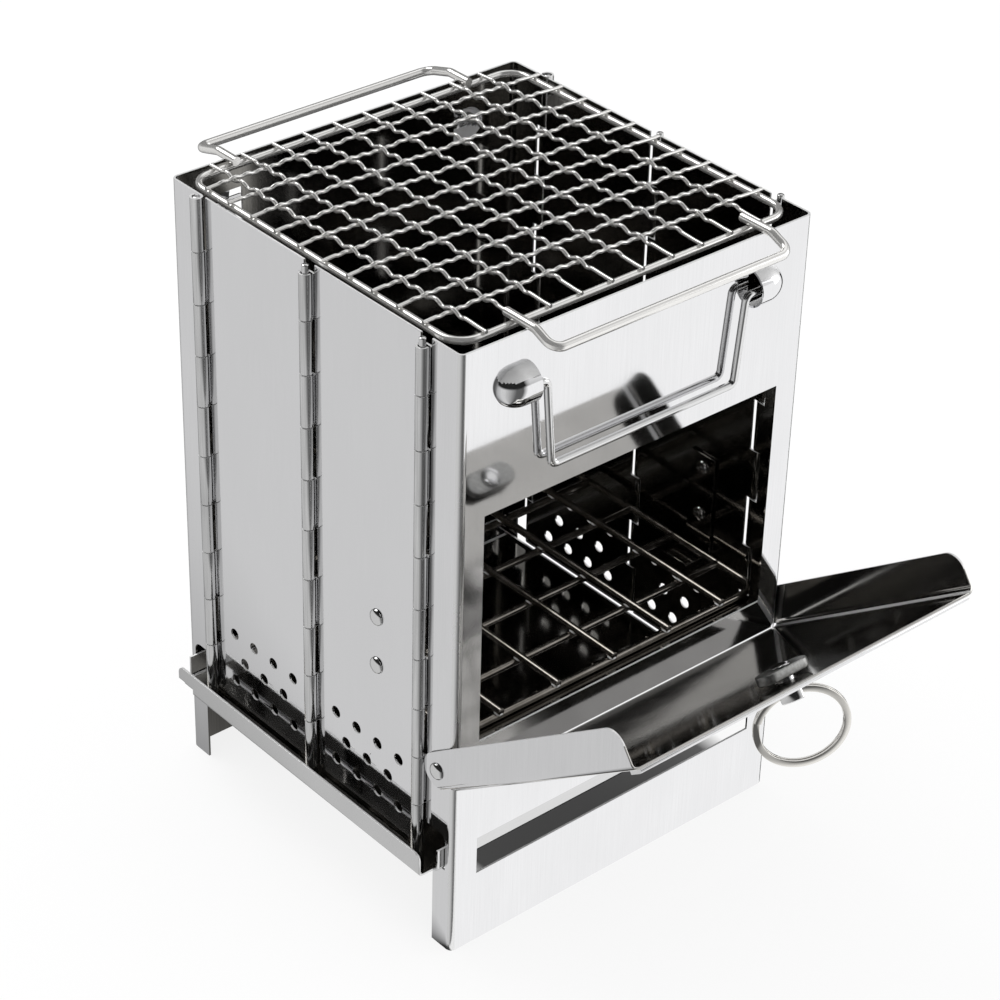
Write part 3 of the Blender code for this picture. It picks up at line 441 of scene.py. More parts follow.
def curl(y, direction):
    """The rolled knuckle at a sheet's left edge, with a support point on the flat beside it."""
    radius = KNUCKLE_RADIUS - SHEET / 2
    rolled = arc((-HINGE_X, y), radius, 0, direction * CURL_ANGLE, CURL_STEPS)
    return [(-WALL_X, y - direction * SUPPORT)] + rolled


def pan_outline(flange, wall, web):
    """A pan from above: the left flange, its bend, the web, and the same on the right."""
    left = flange + [(-wall, web + BEND + SUPPORT)]
    left += arc((-wall + BEND, web + BEND), BEND, pi, 1.5 * pi, BEND_STEPS)
    left += [(-wall + BEND + SUPPORT, web)]
    return left + [(-x, y) for x, y in reversed(left)]


def clear_knuckles(bm, side, y, first_kept, inboard, drop=0.0):
    """Boxes that clear the knuckle rows of the other sheet, and the top above a short knuckle."""
    reach = KNUCKLE_RADIUS + KNUCKLE_GAP
    x_low, x_high = sided(side, INNER_X - SHEET, HINGE_X + 2 * KNUCKLE_RADIUS)
    y_low, y_high = sorted((y + inboard * reach, y - inboard * 2 * reach))
    for row in range(KNUCKLE_COUNT):
        if row % 2 == first_kept:
            continue
        top = BOX_HEIGHT - row * KNUCKLE_PITCH + KNUCKLE_GAP / 2
        bottom = top - KNUCKLE_PITCH - KNUCKLE_GAP
        if row == 0:
            top = 2 * BOX_HEIGHT
        if row == KNUCKLE_COUNT - 1:
            bottom = -SHEET
        add_box(bm, (x_low, y_low, bottom), (x_high, y_high, top))
    if drop:
        add_box(bm, (x_low, y_low, BOX_HEIGHT - drop), (x_high, y_high, 2 * BOX_HEIGHT))


def skin(bm, rings):
    """Faces from each closed ring of points to the next."""
    for near, far in zip(rings, rings[1:]):
        for k in range(len(near)):
            after = (k + 1) % len(near)
            bm.faces.new((near[k], near[after], far[after], far[k]))


def lug_pair(bm, radius, inner_end, shoulder, outer_end):
    """Two bullet-shaped solids on the bail's axis, their round noses outwards."""
    nose = outer_end - shoulder
    stations = [(inner_end, radius), (shoulder, radius)]
    stations += [(shoulder + nose * sin(a), radius * cos(a)) for a in quarter(LUG_RINGS)[1:-1]]
    for side in (-1, 1):
        rings = [[bm.verts.new((side * x, y, z)) for y, z in
                  arc((0, BAIL_HEIGHT), ring_radius, 0, 2 * pi, LUG_STEPS)[:-1]]
                 for x, ring_radius in stations]
        bm.faces.new(rings[0])
        skin(bm, rings)
        tip = bm.verts.new((side * outer_end, 0, BAIL_HEIGHT))
        for near, far in zip(rings[-1], rings[-1][1:] + rings[-1][:1]):
            bm.faces.new((near, far, tip))
    bmesh.ops.recalc_face_normals(bm, faces=bm.faces)


def leg_and_notch(bm, side, lets_tray_in):
    """What is cut from a return flange: behind the narrow leg, and the way in for the tray."""
    x_low, x_high = sided(side, INNER_X - SHEET, HINGE_X + 2 * KNUCKLE_RADIUS)
    leg_y = FRONT_FACE + LEG_FLANGE
    notch_y = FRONT_FACE + SHEET + TRAY_SIDE_GAP - CLEARANCE
    far_y = HINGE_FRONT + HINGE_SETBACK
    seat = TRAY_FLOOR - CLEARANCE
    r = NOTCH_CORNER_RADIUS
    outline = [(far_y, -SHEET), (leg_y, -SHEET)]
    if lets_tray_in:
        outline += [(leg_y, seat), (notch_y, seat)]
        outline += arc((notch_y + r, NOTCH_TOP - r), r, pi, pi / 2, BEND_STEPS)
    else:
        outline += [(leg_y, NOTCH_TOP)]
    outline += [(far_y, NOTCH_TOP)]
    add_outline(bm, [(x_low, y, z) for y, z in outline], (x_high - x_low, 0, 0))


def make_panel(name, has_door):
    """The front or back panel, both made in the front panel's place."""
    outline = pan_outline(curl(HINGE_FRONT, 1)[::-1], WALL_X, 0)
    item = stand_up(name + "_raw", outline, 0, BOX_HEIGHT)
    tools = []
    bm = bmesh.new()
    lug_pair(bm, LUG_RADIUS, LUG_INNER_END, LUG_SHOULDER, LUG_OUTER_END)
    half_door = HALF_WIDTH - DOOR_OPENING_MARGIN
    if has_door:
        add_box(bm, (-half_door, -SHEET / 4, SEAT_Z - SHEET), (half_door, SILL_DEPTH, SEAT_Z))
    else:
        reach = BACK_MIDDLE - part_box("grate")[1].y + BACK_TAB_HOLD
        for side in (-1, 1):
            x = side * BACK_TAB_SPACING / 2
            add_box(bm, (x - BACK_TAB_WIDTH / 2, -SHEET / 4, SEAT_Z - SHEET),
                    (x + BACK_TAB_WIDTH / 2, reach, SEAT_Z))
    tools.append(work(item, bm, "UNION"))
    bm = bmesh.new()
    lug_pair(bm, LUG_RADIUS - SHEET, LUG_INNER_END - SHEET, LUG_SHOULDER, LUG_OUTER_END - SHEET)
    tools.append(work(item, bm))
    bm = bmesh.new()
    for side in (-1, 1):
        clear_knuckles(bm, side, HINGE_FRONT, 0, -1, PIN_SHOWS if has_door else 0.0)
    tools.append(work(item, bm))
    bm = bmesh.new()
    for side in (-1, 1):
        x_low, x_high = sided(side, LUG_INNER_END - SHEET, LUG_OUTER_END + SHEET)
        add_box(bm, (x_low, SHEET / 2, BAIL_HEIGHT - LUG_RADIUS - SHEET),
                (x_high, LUG_RADIUS + SHEET, BAIL_HEIGHT + LUG_RADIUS + SHEET))
        leg_and_notch(bm, side, (side < 0) == has_door)
    if has_door:
        add_box(bm, (-half_door, -SHEET, DOOR_OPENING_BOTTOM), (half_door, SHEET, DOOR_OPENING_TOP))
        half_slot = HALF_WIDTH - SLOT_MARGIN
        slot_low = TRAY_FLOOR - SLOT_BELOW_TRAY
        add_box(bm, (-half_slot, -SHEET, slot_low), (half_slot, SHEET, slot_low + SLOT_HEIGHT))
        for side in (-1, 1):
            rivet_rods(bm, side, [DOOR_PIVOT])
    tools.append(work(item, bm))
    return sheet_part(name, item, tools, None if has_door else ABOUT)


def new_tree(name, **inputs):
    """A Geometry Nodes tree with its inputs, named by kind, and its input and output nodes."""
    tree = bpy.data.node_groups.new(name, "GeometryNodeTree")
    tree.interface.new_socket("Geometry", in_out="OUTPUT", socket_type="NodeSocketGeometry")
    for kind, labels in {"Geometry": ["Geometry"], "Material": ["Material"], **inputs}.items():
        for label in labels:
            tree.interface.new_socket(label, in_out="INPUT", socket_type="NodeSocket" + kind)
    return tree, tree.nodes.new("NodeGroupInput").outputs, tree.nodes.new("NodeGroupOutput")


def feed(tree, node, feeds):
    """Gives a node's inputs, by name or number, another node, a socket or a plain value."""
    for key, value in feeds.items():
        if isinstance(value, bpy.types.Node):
            value = value.outputs[0]
        if isinstance(value, bpy.types.NodeSocket):
            tree.links.new(value, node.inputs[key])
        else:
            node.inputs[key].default_value = value
    return node


def add(tree, kind, feeds=None, **settings):
    """One new node with its feeds and settings."""
    node = tree.nodes.new(kind)
    for key, value in settings.items():
        setattr(node, key, value)
    return feed(tree, node, feeds or {})


def calc(tree, operation, *values):
    return add(tree, "ShaderNodeMath", dict(enumerate(values)), operation=operation)


def vector(tree, x=0.0, y=0.0, z=0.0):
    return add(tree, "ShaderNodeCombineXYZ", {0: x, 1: y, 2: z})


def end_tree(tree, geometry, given, output):
    """Every tree ends alike: real geometry, smooth, with its material."""
    real = add(tree, "GeometryNodeRealizeInstances", {0: geometry})
    smooth = add(tree, "GeometryNodeSetShadeSmooth", {0: real})
    feed(tree, output, {0: add(tree, "GeometryNodeSetMaterial", {
        "Geometry": smooth, "Material": given["Material"]})})
    return tree


def tube(tree, curve, given):
    circle = add(tree, "GeometryNodeCurvePrimitiveCircle", {
        "Resolution": given["Sides"], "Radius": given["Wire Radius"]})
    return add(tree, "GeometryNodeCurveToMesh", {
        "Curve": curve, "Profile Curve": circle, "Fill Caps": True})


def bent_wire_tree():
    """Wire along the object's own edges, with its corners rounded."""
    tree, given, output = new_tree("bent_wire", Float=("Wire Radius", "Corner Radius"),
                                   Int=("Corner Steps", "Sides"))
    curve = add(tree, "GeometryNodeMeshToCurve", {0: given["Geometry"]})
    rounded = add(tree, "GeometryNodeFilletCurve", {
        "Curve": curve, "Count": given["Corner Steps"], "Radius": given["Corner Radius"]}, mode="POLY")
    return end_tree(tree, tube(tree, rounded, given), given, output)


def straight_wires_tree():
    """A row of straight wires, each a fixed step from the last."""
    tree, given, output = new_tree("straight_wires", Float=["Wire Radius"], Int=("Count", "Sides"),
                                   Vector=("Start", "End", "Step"))
    row = add(tree, "GeometryNodeMeshLine", {"Count": given["Count"], "Offset": given["Step"]},
              mode="OFFSET")
    line = add(tree, "GeometryNodeCurvePrimitiveLine", {"Start": given["Start"], "End": given["End"]})
    wires = add(tree, "GeometryNodeInstanceOnPoints", {"Points": row, "Instance": line})
    real = add(tree, "GeometryNodeRealizeInstances", {0: wires})
    return end_tree(tree, tube(tree, real, given), given, output)


def woven_wires_tree():
    """A row of crimped wires: over one crossing wire, under the next, with an odd number of
    small half waves between them."""
    tree, given, output = new_tree(
        "woven_wires", Int=("Wires", "Steps", "Sides"), Vector=("Angle", "Centre"),
        Float=("Wire Radius", "First Wire", "Wire Pitch", "First Crossing", "Crossing Pitch",
               "Low End", "High End", "Crimp", "Ripple", "Ripple Count", "End Drop"))
    line = add(tree, "GeometryNodeCurvePrimitiveLine", {
        "Start": vector(tree, given["Low End"]), "End": vector(tree, given["High End"])})
    fine = add(tree, "GeometryNodeResampleCurve", {"Curve": line, "Count": given["Steps"]})
    row = add(tree, "GeometryNodeMeshLine", {
        "Count": given["Wires"], "Start Location": vector(tree, y=given["First Wire"]),
        "Offset": vector(tree, y=given["Wire Pitch"])}, mode="OFFSET")
    copies = add(tree, "GeometryNodeInstanceOnPoints", {"Points": row, "Instance": fine})
    real = add(tree, "GeometryNodeRealizeInstances", {0: copies})

    x = add(tree, "ShaderNodeSeparateXYZ", {0: add(tree, "GeometryNodeInputPosition")})
    half_pitch = calc(tree, "DIVIDE", given["Crossing Pitch"], 2.0)
    lowest = calc(tree, "SUBTRACT", given["First Crossing"], half_pitch)
    highest = calc(tree, "MULTIPLY", lowest, -1.0)
    held = calc(tree, "MINIMUM", calc(tree, "MAXIMUM", x, lowest), highest)
    turns = calc(tree, "DIVIDE", calc(tree, "SUBTRACT", held, given["First Crossing"]),
                 given["Crossing Pitch"])
    angle = calc(tree, "MULTIPLY", turns, pi)
    quick_angle = calc(tree, "MULTIPLY", angle, given["Ripple Count"])
    slow = calc(tree, "MULTIPLY", calc(tree, "COSINE", angle), given["Crimp"])
    quick = calc(tree, "MULTIPLY", calc(tree, "COSINE", quick_angle), given["Ripple"])
    level = calc(tree, "ADD", slow, quick)
    number = add(tree, "GeometryNodeFieldOnDomain", {0: add(tree, "GeometryNodeInputIndex")},
                 domain="CURVE", data_type="INT")
    odd = calc(tree, "MODULO", number, 2.0)
    sign = calc(tree, "SUBTRACT", calc(tree, "MULTIPLY", odd, 2.0), 1.0)
    out = calc(tree, "SUBTRACT", calc(tree, "ABSOLUTE", x), highest)
    drop = calc(tree, "MINIMUM", calc(tree, "MAXIMUM", calc(tree, "DIVIDE", out, half_pitch), 0.0), 1.0)
    height = calc(tree, "SUBTRACT", calc(tree, "MULTIPLY", level, sign),
                  calc(tree, "MULTIPLY", drop, given["End Drop"]))
    crimped = add(tree, "GeometryNodeSetPosition", {"Geometry": real, "Offset": vector(tree, z=height)})
    placed = add(tree, "GeometryNodeTransform", {
        "Geometry": tube(tree, crimped, given), "Translation": given["Centre"],
        "Rotation": given["Angle"]})
    return end_tree(tree, placed, given, output)


def beads_tree():
    """Weld beads on a rectangular pattern."""
    tree, given, output = new_tree("weld_beads", Float=("Radius", "Width", "Depth"),
                                   Int=("Count Across", "Count Along"), Vector=("Flatness", "Centre"))
    grid = add(tree, "GeometryNodeMeshGrid", {
        "Size X": given["Width"], "Size Y": given["Depth"],
        "Vertices X": given["Count Across"], "Vertices Y": given["Count Along"]})
    moved = add(tree, "GeometryNodeTransform", {"Geometry": grid, "Translation": given["Centre"]})
    bead = add(tree, "GeometryNodeMeshIcoSphere", {
        "Radius": given["Radius"], "Subdivisions": GRATE_BEAD_ROUNDS})
    beads = add(tree, "GeometryNodeInstanceOnPoints", {
        "Points": moved, "Instance": bead, "Scale": given["Flatness"]})
    return end_tree(tree, beads, given, output)


def copies_tree():
    """One small piece copied to each of the object's points, its own Z turned outwards."""
    tree, given, output = new_tree("copies_on_points", Object=["Piece"], Vector=["Outward"])
    piece = add(tree, "GeometryNodeObjectInfo", {"Object": given["Piece"]})
    turn = add(tree, "FunctionNodeAlignRotationToVector", {"Vector": given["Outward"]}, axis="Z")
    copies = add(tree, "GeometryNodeInstanceOnPoints", {
        "Points": given["Geometry"], "Instance": piece.outputs["Geometry"], "Rotation": turn})
    return end_tree(tree, copies, given, output)


def grow(name, tree, values, points=(), closed=False):
    """Runs a tree on a line of points, or on none, and keeps its result as a plain mesh."""
    mesh = bpy.data.meshes.new(name)
    edges = [(i, i + 1) for i in range(len(points) - 1)]
    if closed:
        edges.append((len(points) - 1, 0))
    mesh.from_pydata([tuple(p) for p in points], edges, [])
    item = add_object(name + "_raw", mesh)
    modifier = item.modifiers.new("nodes", "NODES")
    modifier.node_group = tree
    for socket in tree.interface.items_tree:
        if socket.in_out == "INPUT" and socket.name in values:
            modifier[socket.identifier] = values[socket.name]
    return settle(name, item)


def joined(name, *items):
    """Several meshes of one body as one piece."""
    bm = bmesh.new()
    materials = []
    for item in items:
        material = item.data.materials[0]
        if material not in materials:
            materials.append(material)
        start = len(bm.faces)
        bm.from_mesh(item.data)
        bm.faces.ensure_lookup_table()
        for face in bm.faces[start:]:
            face.material_index = materials.index(material)
        bpy.data.objects.remove(item, do_unlink=True)
    result = object_from(name, bm)
    for material in materials:
        result.data.materials.append(material)
    return result


# Materials

def new_material(name, colour, metallic=1.0):
    material = bpy.data.materials.new(name)
    material.use_nodes = True
    tree = material.node_tree
    shader = tree.nodes["Principled BSDF"]
    return material, tree, feed(tree, shader, {"Metallic": metallic, "Base Color": (*colour, 1)})


def noise(tree, scale, stretch=(1, 1, 1), detail=4.0, turn=(0, 0, 0)):
    """Noise in the object's own coordinates, scale in cells per metre."""
    place = add(tree, "ShaderNodeTexCoord").outputs["Object"]
    mapped = add(tree, "ShaderNodeMapping", {"Vector": place, "Scale": stretch, "Rotation": turn})
    return add(tree, "ShaderNodeTexNoise", {"Vector": mapped, "Scale": scale,
                                            "Detail": detail}).outputs["Fac"]


def spread_to(tree, value, low, high, from_low=0.3, from_high=0.7):
    return add(tree, "ShaderNodeMapRange", {0: value, 1: from_low, 2: from_high, 3: low, 4: high})


def mix(tree, share, first, second):
    return add(tree, "ShaderNodeMix", {0: share, 6: first, 7: second}, data_type="RGBA").outputs[2]


def tint(tree, value, dark, light):
    return mix(tree, value, (*dark, 1), (*light, 1))


def bump(tree, height, distance, below=None):
    feeds = {"Height": height, "Distance": distance, "Strength": 1.0}
    if below:
        feeds["Normal"] = below
    return add(tree, "ShaderNodeBump", feeds)


def polished(name, colour, rough=(0.05, 0.10), grain=(1, 1, 0.02), wave=0.00005, dull=0.94,
             scratches=0.0, metallic=1.0):
    """Polished sheet or wire: long fine grain, faint waves and cloudy gloss."""
    material, tree, shader = new_material(name, colour, metallic)
    lines = noise(tree, LINE_CELLS, grain, 5.0)
    clouds = noise(tree, CLOUD_CELLS, (1, 1, 0.5), 5.0)
    tone = spread_to(tree, calc(tree, "MULTIPLY", lines, clouds), 0, 1, *TONE_SPAN)
    dark = [c * dull for c in colour]
    waves = bump(tree, noise(tree, WAVE_CELLS, (1, 1, 0.6), 1.0), wave)
    normal = bump(tree, lines, LINE_DEPTH, waves)
    if scratches:
        marks = noise(tree, SCRATCH_CELLS, (1, 0.03, 0.03), 3.0, (0.3, 0.2, 0.9))
        normal = bump(tree, spread_to(tree, marks, 0, 1, *SCRATCH_SPAN), scratches, normal)
    feed(tree, shader, {"Base Color": tint(tree, tone, dark, colour),
                        "Roughness": spread_to(tree, clouds, *rough), "Normal": normal})
    return material


def rough_metal(name, dark, light, rough, cell, depth):
    """Cast or dull metal: mottled tone and a fine pitted surface."""
    material, tree, shader = new_material(name, light)
    mottle = noise(tree, cell, detail=6.0)
    feed(tree, shader, {"Base Color": tint(tree, spread_to(tree, mottle, 0, 1), dark, light),
                        "Roughness": spread_to(tree, mottle, *rough),
                        "Normal": bump(tree, noise(tree, cell * 3), depth)})
    return material


PANEL_STEEL = polished("panel_steel", (0.87, 0.87, 0.88), (0.03, 0.07))
SIDE_STEEL = polished("side_steel", (0.86, 0.86, 0.87), (0.05, 0.10), dull=0.97)
ROLLED_STEEL = polished("rolled_steel", (0.80, 0.80, 0.80), (0.10, 0.22), wave=0.00002, dull=0.7)
BENT_STEEL = polished("bent_steel", (0.86, 0.86, 0.86), (0.24, 0.30), wave=0.00001)
# Sheet edges that face up: rougher cut steel, and a painted highlight, paler than the faces beside them.
CUT_EDGE_HIGHLIGHT = polished("cut_edge_highlight", (0.76, 0.76, 0.76), (0.36, 0.44), grain=(1, 1, 1), wave=0.00001,
                    metallic=0.4)
# Inner face of the door: the same steel made darker, painted shade of the dark box it reflects.
DOOR_PAINTED_SHADE = polished("door_painted_shade", (0.50, 0.49, 0.47), (0.06, 0.12), wave=0.00008, dull=0.8)
DOOR_STEEL = polished("door_steel", (0.82, 0.82, 0.83), (0.03, 0.08), scratches=0.000004)
TRAY_STEEL = polished("tray_steel", (0.72, 0.72, 0.72), (0.06, 0.12), grain=(0.02, 1, 1))
PIN_STEEL = polished("pin_steel", (0.75, 0.75, 0.75), (0.15, 0.25))
RIVET_STEEL = polished("rivet_steel", (0.80, 0.80, 0.80), (0.08, 0.16), grain=(1, 1, 1))
LATCH_STEEL = polished("latch_steel", (0.78, 0.78, 0.78), (0.08, 0.15), grain=(1, 1, 1))
BAIL_STEEL = polished("bail_steel", (0.80, 0.80, 0.80), (0.06, 0.12), grain=(0.02, 1, 1))
GRILL_STEEL = polished("grill_steel", (0.90, 0.89, 0.87), (0.10, 0.18), grain=(1, 1, 1),
                       metallic=0.75)
RING_NICKEL = polished("ring_nickel", (0.82, 0.80, 0.76), (0.06, 0.12), grain=(1, 1, 1))
CAST_ZINC = rough_metal("cast_zinc", (0.30, 0.30, 0.29), (0.52, 0.52, 0.51), (0.30, 0.45), 900, 0.00003)
GRATE_STEEL = rough_metal("grate_steel", (0.26, 0.24, 0.21), (0.42, 0.39, 0.36), (0.12, 0.22), 160, 0.000004)
# Inside of the box, the tray and the brackets: the same steel made darker, painted shade.
PAINTED_SHADE_STEEL = polished("painted_shade_steel", (0.32, 0.31, 0.29), (0.06, 0.12), wave=0.00008, dull=0.6)

BENT_WIRE = bent_wire_tree()
STRAIGHT_WIRES = straight_wires_tree()
WOVEN_WIRES = woven_wires_tree()
WELD_BEADS = beads_tree()
COPIES = copies_tree()


def finish(item, body, slot, nodes, *materials):
    """Gives a finished piece its materials and body, and hides the nodes that it stands for.
    The slot is not used.
    """
    if materials:
        item.data.materials.clear()
        for material in materials:
            item.data.materials.append(material)
    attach(item, body)
    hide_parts(*nodes)
    return item


def paint_edge_highlights(item):
    """The sheet's own thin edges that face up take the first material, rough cut steel with a painted
    highlight.
    """
    for face in item.data.polygons:
        if face.use_smooth and face.normal.z > EDGE_FACES_UP:
            face.material_index = 0


def paint_faces(item):
    """Rolled knuckles take the third material, the inside of the box the fourth, a darker steel
    that is painted shade, and the folds between panel and flange the fifth."""
    for face in item.data.polygons:
        place = face.center
        faces_out = face.normal.x * place.x + face.normal.y * (place.y - CENTRE_Y) > 0
        inside = abs(place.x) < WALL_X and 0 < place.y < BACK_MIDDLE and not faces_out
        rolled = abs(place.x) > HALF_WIDTH + SHEET / 4
        face.material_index = 3 if inside else 1 + int(rolled)
        bent = min(abs(face.normal.x), abs(face.normal.y)) > BENT_TURN and abs(face.normal.z) < BENT_TURN
        if bent and WALL_X - BEND < abs(place.x) < HALF_WIDTH and not inside:
            face.material_index = 4
    paint_edge_highlights(item)


def make_panels():
    for name, has_door in (("front_panel", True), ("back_panel", False)):
        panel = make_panel(name + "_sheet", has_door)
        finish(panel, name, "panel_sheet", [name], CUT_EDGE_HIGHLIGHT, PANEL_STEEL, ROLLED_STEEL, PAINTED_SHADE_STEEL,
               BENT_STEEL)
        paint_faces(panel)


def copies_at(name, points, piece, outward, material):
    return grow(name, COPIES, {"Piece": piece, "Outward": outward, "Material": material}, points)


def vent_cutters(name, side, y_middle):
    """Air holes in staggered rows, as rods through the leaf."""
    points = []
    for row, count in enumerate(VENT_ROWS):
        for k in range(count):
            y = y_middle + (k - (count - 1) / 2) * VENT_PITCH
            points.append((side * WALL_X, y, LEAF_BOTTOM + VENT_RISE + row * VENT_ROW_PITCH))
    bm = bmesh.new()
    add_rod(bm, (0, 0, -2 * SHEET), (0, 0, 2 * SHEET), VENT_DIAMETER / 2)
    piece = object_from("vent_rod", bm)
    result = copies_at(name, points, piece, (side, 0, 0), None)
    bpy.data.objects.remove(piece, do_unlink=True)
    return result


def make_leaf(word, side, y_front, y_rear, kept_rear, riveted):
    """One folding side wall, with half of the knuckles at each edge."""
    outline = curl(y_front, -1)[::-1] + curl(y_rear, 1)
    if side > 0:
        outline = [(-x, y) for x, y in outline]
    name = word + "_leaf"
    item = stand_up(name + "_raw", outline, LEAF_BOTTOM, BOX_HEIGHT)
    bm = bmesh.new()
    clear_knuckles(bm, side, y_front, 1, 1)
    clear_knuckles(bm, side, y_rear, kept_rear, -1, 0.0 if kept_rear else PIN_SHOWS)
    if riveted:
        rivet_rods(bm, side, LEAF_RIVETS)
    tools = [work(item, bm)]
    vents = vent_cutters("vents", side, (y_front + y_rear) / 2)
    tools.append(boolean(item, vents))
    leaf = sheet_part(name + "_sheet", item, tools)
    finish(leaf, word + "_wall", "side_sheet", [name], CUT_EDGE_HIGHLIGHT, SIDE_STEEL, ROLLED_STEEL, PAINTED_SHADE_STEEL)
    paint_faces(leaf)


def turned(name, profile, steps):
    """A turned piece: radius and height pairs, from the top of the axis down its outside."""
    bm = bmesh.new()
    verts = [bm.verts.new((radius, 0, height)) for radius, height in profile]
    for i in range(len(verts) - 1):
        bm.edges.new((verts[i], verts[i + 1]))
    item = object_from(name, bm)
    add_modifier(item, "SCREW", axis="Z", steps=steps, render_steps=steps, use_merge_vertices=True,
                 merge_threshold=0.00001, use_smooth_shade=True)
    return item


def make_pins():
    """Hinge pins with a rounded top that stands out of the short knuckles."""
    bodies = {"left_front": "front_panel", "left_middle": "left_front_wall", "left_rear": "left_rear_wall",
              "right_front": "front_panel", "right_middle": "right_front_wall",
              "right_rear": "right_rear_wall"}
    dome = [(x, BOX_HEIGHT + (z - PIN_RADIUS) * PIN_DOME)
            for x, z in arc((0, 0), PIN_RADIUS, pi / 2, 0, BEND_STEPS)]
    for place, body in bodies.items():
        node = "hinge_pin_" + place
        centre = middle_of(node)
        pin = turned(node + "_raw", dome + [(PIN_RADIUS, LEAF_BOTTOM), (0, LEAF_BOTTOM)], PIN_STEPS)
        pin = settle(node + "_wire", pin, Matrix.Translation((centre.x, centre.y, 0)))
        shade(pin)
        finish(pin, body, "hinge_pin", [node], PIN_STEEL)


def rivet_piece(head_start, tail_start):
    """A dome-headed rivet along Z, its head starting at one height and its tail at another."""
    shank = RIVET_SHANK / 2
    head = shank + RIVET_HEAD_LIP
    tail = shank + RIVET_TAIL_LIP
    dome = [(head * sin(a), head_start + RIVET_HEAD_HEIGHT * cos(a)) for a in quarter(RIVET_DOME_STEPS)]
    low = tail_start - RIVET_TAIL_HEIGHT
    foot = [(tail, tail_start), (tail, low + RIVET_TAIL_HEIGHT / 2),
            (tail - RIVET_TAIL_HEIGHT / 2, low), (0, low)]
    return turned("rivet", dome + [(shank, head_start), (shank, tail_start)] + foot, RIVET_STEPS)


def make_rivets():
    """Rivets of the door and of the grate brackets."""
    bracket = INNER_X - CLEARANCE - SHEET
    for word, side in SIDES:
        for kind, end, body, head, tail, places, levels in (
                ("door_rivet_", "_dome", "front_panel", DOOR_WALL_X + SHEET / 2, INNER_X, [DOOR_PIVOT], [""]),
                ("leaf_rivet_", "_domes", word + "_front_wall", HALF_WIDTH, bracket, LEAF_RIVETS,
                 ["_lower", "_upper"])):
            piece = settle("rivet_piece", rivet_piece(head + CLEARANCE / 3, tail - CLEARANCE / 3))
            shade(piece, FOLD_ANGLE)
            points = [(0, place.y, place.z) for place in places]
            rivets = copies_at(kind + word + end, points, piece, (side, 0, 0), RIVET_STEEL)
            finish(rivets, body, "rivet", [kind + word + level for level in levels])
            bpy.data.objects.remove(piece, do_unlink=True)


def make_door():
    """The fire door: a pan with two side flanges and a hemmed edge, opened about its pivot."""
    web = (DOOR_INNER + DOOR_OUTER) / 2
    outline = pan_outline([(-DOOR_WALL_X, DOOR_EAR_RADIUS + SHEET)], DOOR_WALL_X, web)
    item = stand_up("door_raw", outline, -DOOR_EAR_RADIUS - SHEET, DOOR_LENGTH + SHEET)
    bm = bmesh.new()
    r = DOOR_CORNER_RADIUS
    front = DOOR_OUTER - DOOR_HEM_THICKNESS
    side_view = [(front, DOOR_START), (front, DOOR_LENGTH)]
    side_view += arc((DOOR_EAR_RADIUS - r, DOOR_LENGTH - r), r, pi / 2, 0, CORNER_STEPS)
    side_view += arc((0, 0), DOOR_EAR_RADIUS, 0, -pi, ROUND_STEPS)
    side_view += [(-DOOR_EAR_RADIUS, DOOR_START)]
    reach = DOOR_WALL_X + SHEET
    add_outline(bm, [(-reach, v, u) for v, u in side_view], (2 * reach, 0, 0))
    tools = [work(item, bm, "INTERSECT")]
    bm = bmesh.new()
    half = DOOR_WALL_X - BEND - SHEET / 2
    back = DOOR_INNER - SHEET / 4
    front = DOOR_INNER - DOOR_HEM_THICKNESS
    radius = (back - front) / 2
    hem = [(back, DOOR_LENGTH - DOOR_HEM_WIDTH), (front, DOOR_LENGTH - DOOR_HEM_WIDTH)]
    hem += arc((front + radius, DOOR_LENGTH - radius), radius, pi, 0, CORNER_STEPS)
    add_outline(bm, [(-half, v, u) for v, u in hem], (2 * half, 0, 0))
    tools.append(work(item, bm, "UNION"))
    bm = bmesh.new()
    for side in (-1, 1):
        rivet_rods(bm, side, [Vector()], HALF_WIDTH, HALF_WIDTH + 4 * SHEET)
    add_rod(bm, (0, DOOR_OUTER - SHEET, LATCH_REACH), (0, DOOR_INNER + SHEET, LATCH_REACH),
            LATCH_NECK_DIAMETER / 2 + CLEARANCE)
    tools.append(work(item, bm))
    door = sheet_part("fire_door_sheet", item, tools, DOOR_TURN)
    finish(door, "fire_door", "door_sheet", ["fire_door"], CUT_EDGE_HIGHLIGHT, DOOR_STEEL, DOOR_PAINTED_SHADE)
    shut = DOOR_TURN.inverted()
    # The inner face takes the darker steel, painted shade.
    for face in door.data.polygons:
        place = shut @ face.center
        face.material_index = 1 + int(abs(place.x) < DOOR_WALL_X and place.y > web)
    paint_edge_highlights(door)


def latch_levels():
    """Heights of the latch along the door's normal: outer end, hole, head, cam and its top."""
    head = DOOR_OUTER - CLEARANCE
    hole = head - RING_HOLE_WALL - RING_HOLE_DIAMETER / 2
    end = hole - RING_HOLE_DIAMETER / 2 - RING_HOLE_WALL
    cam_low = DOOR_INNER + CLEARANCE + SHEET + CLEARANCE
    return end, hole, head, cam_low, cam_low + CAM_THICKNESS


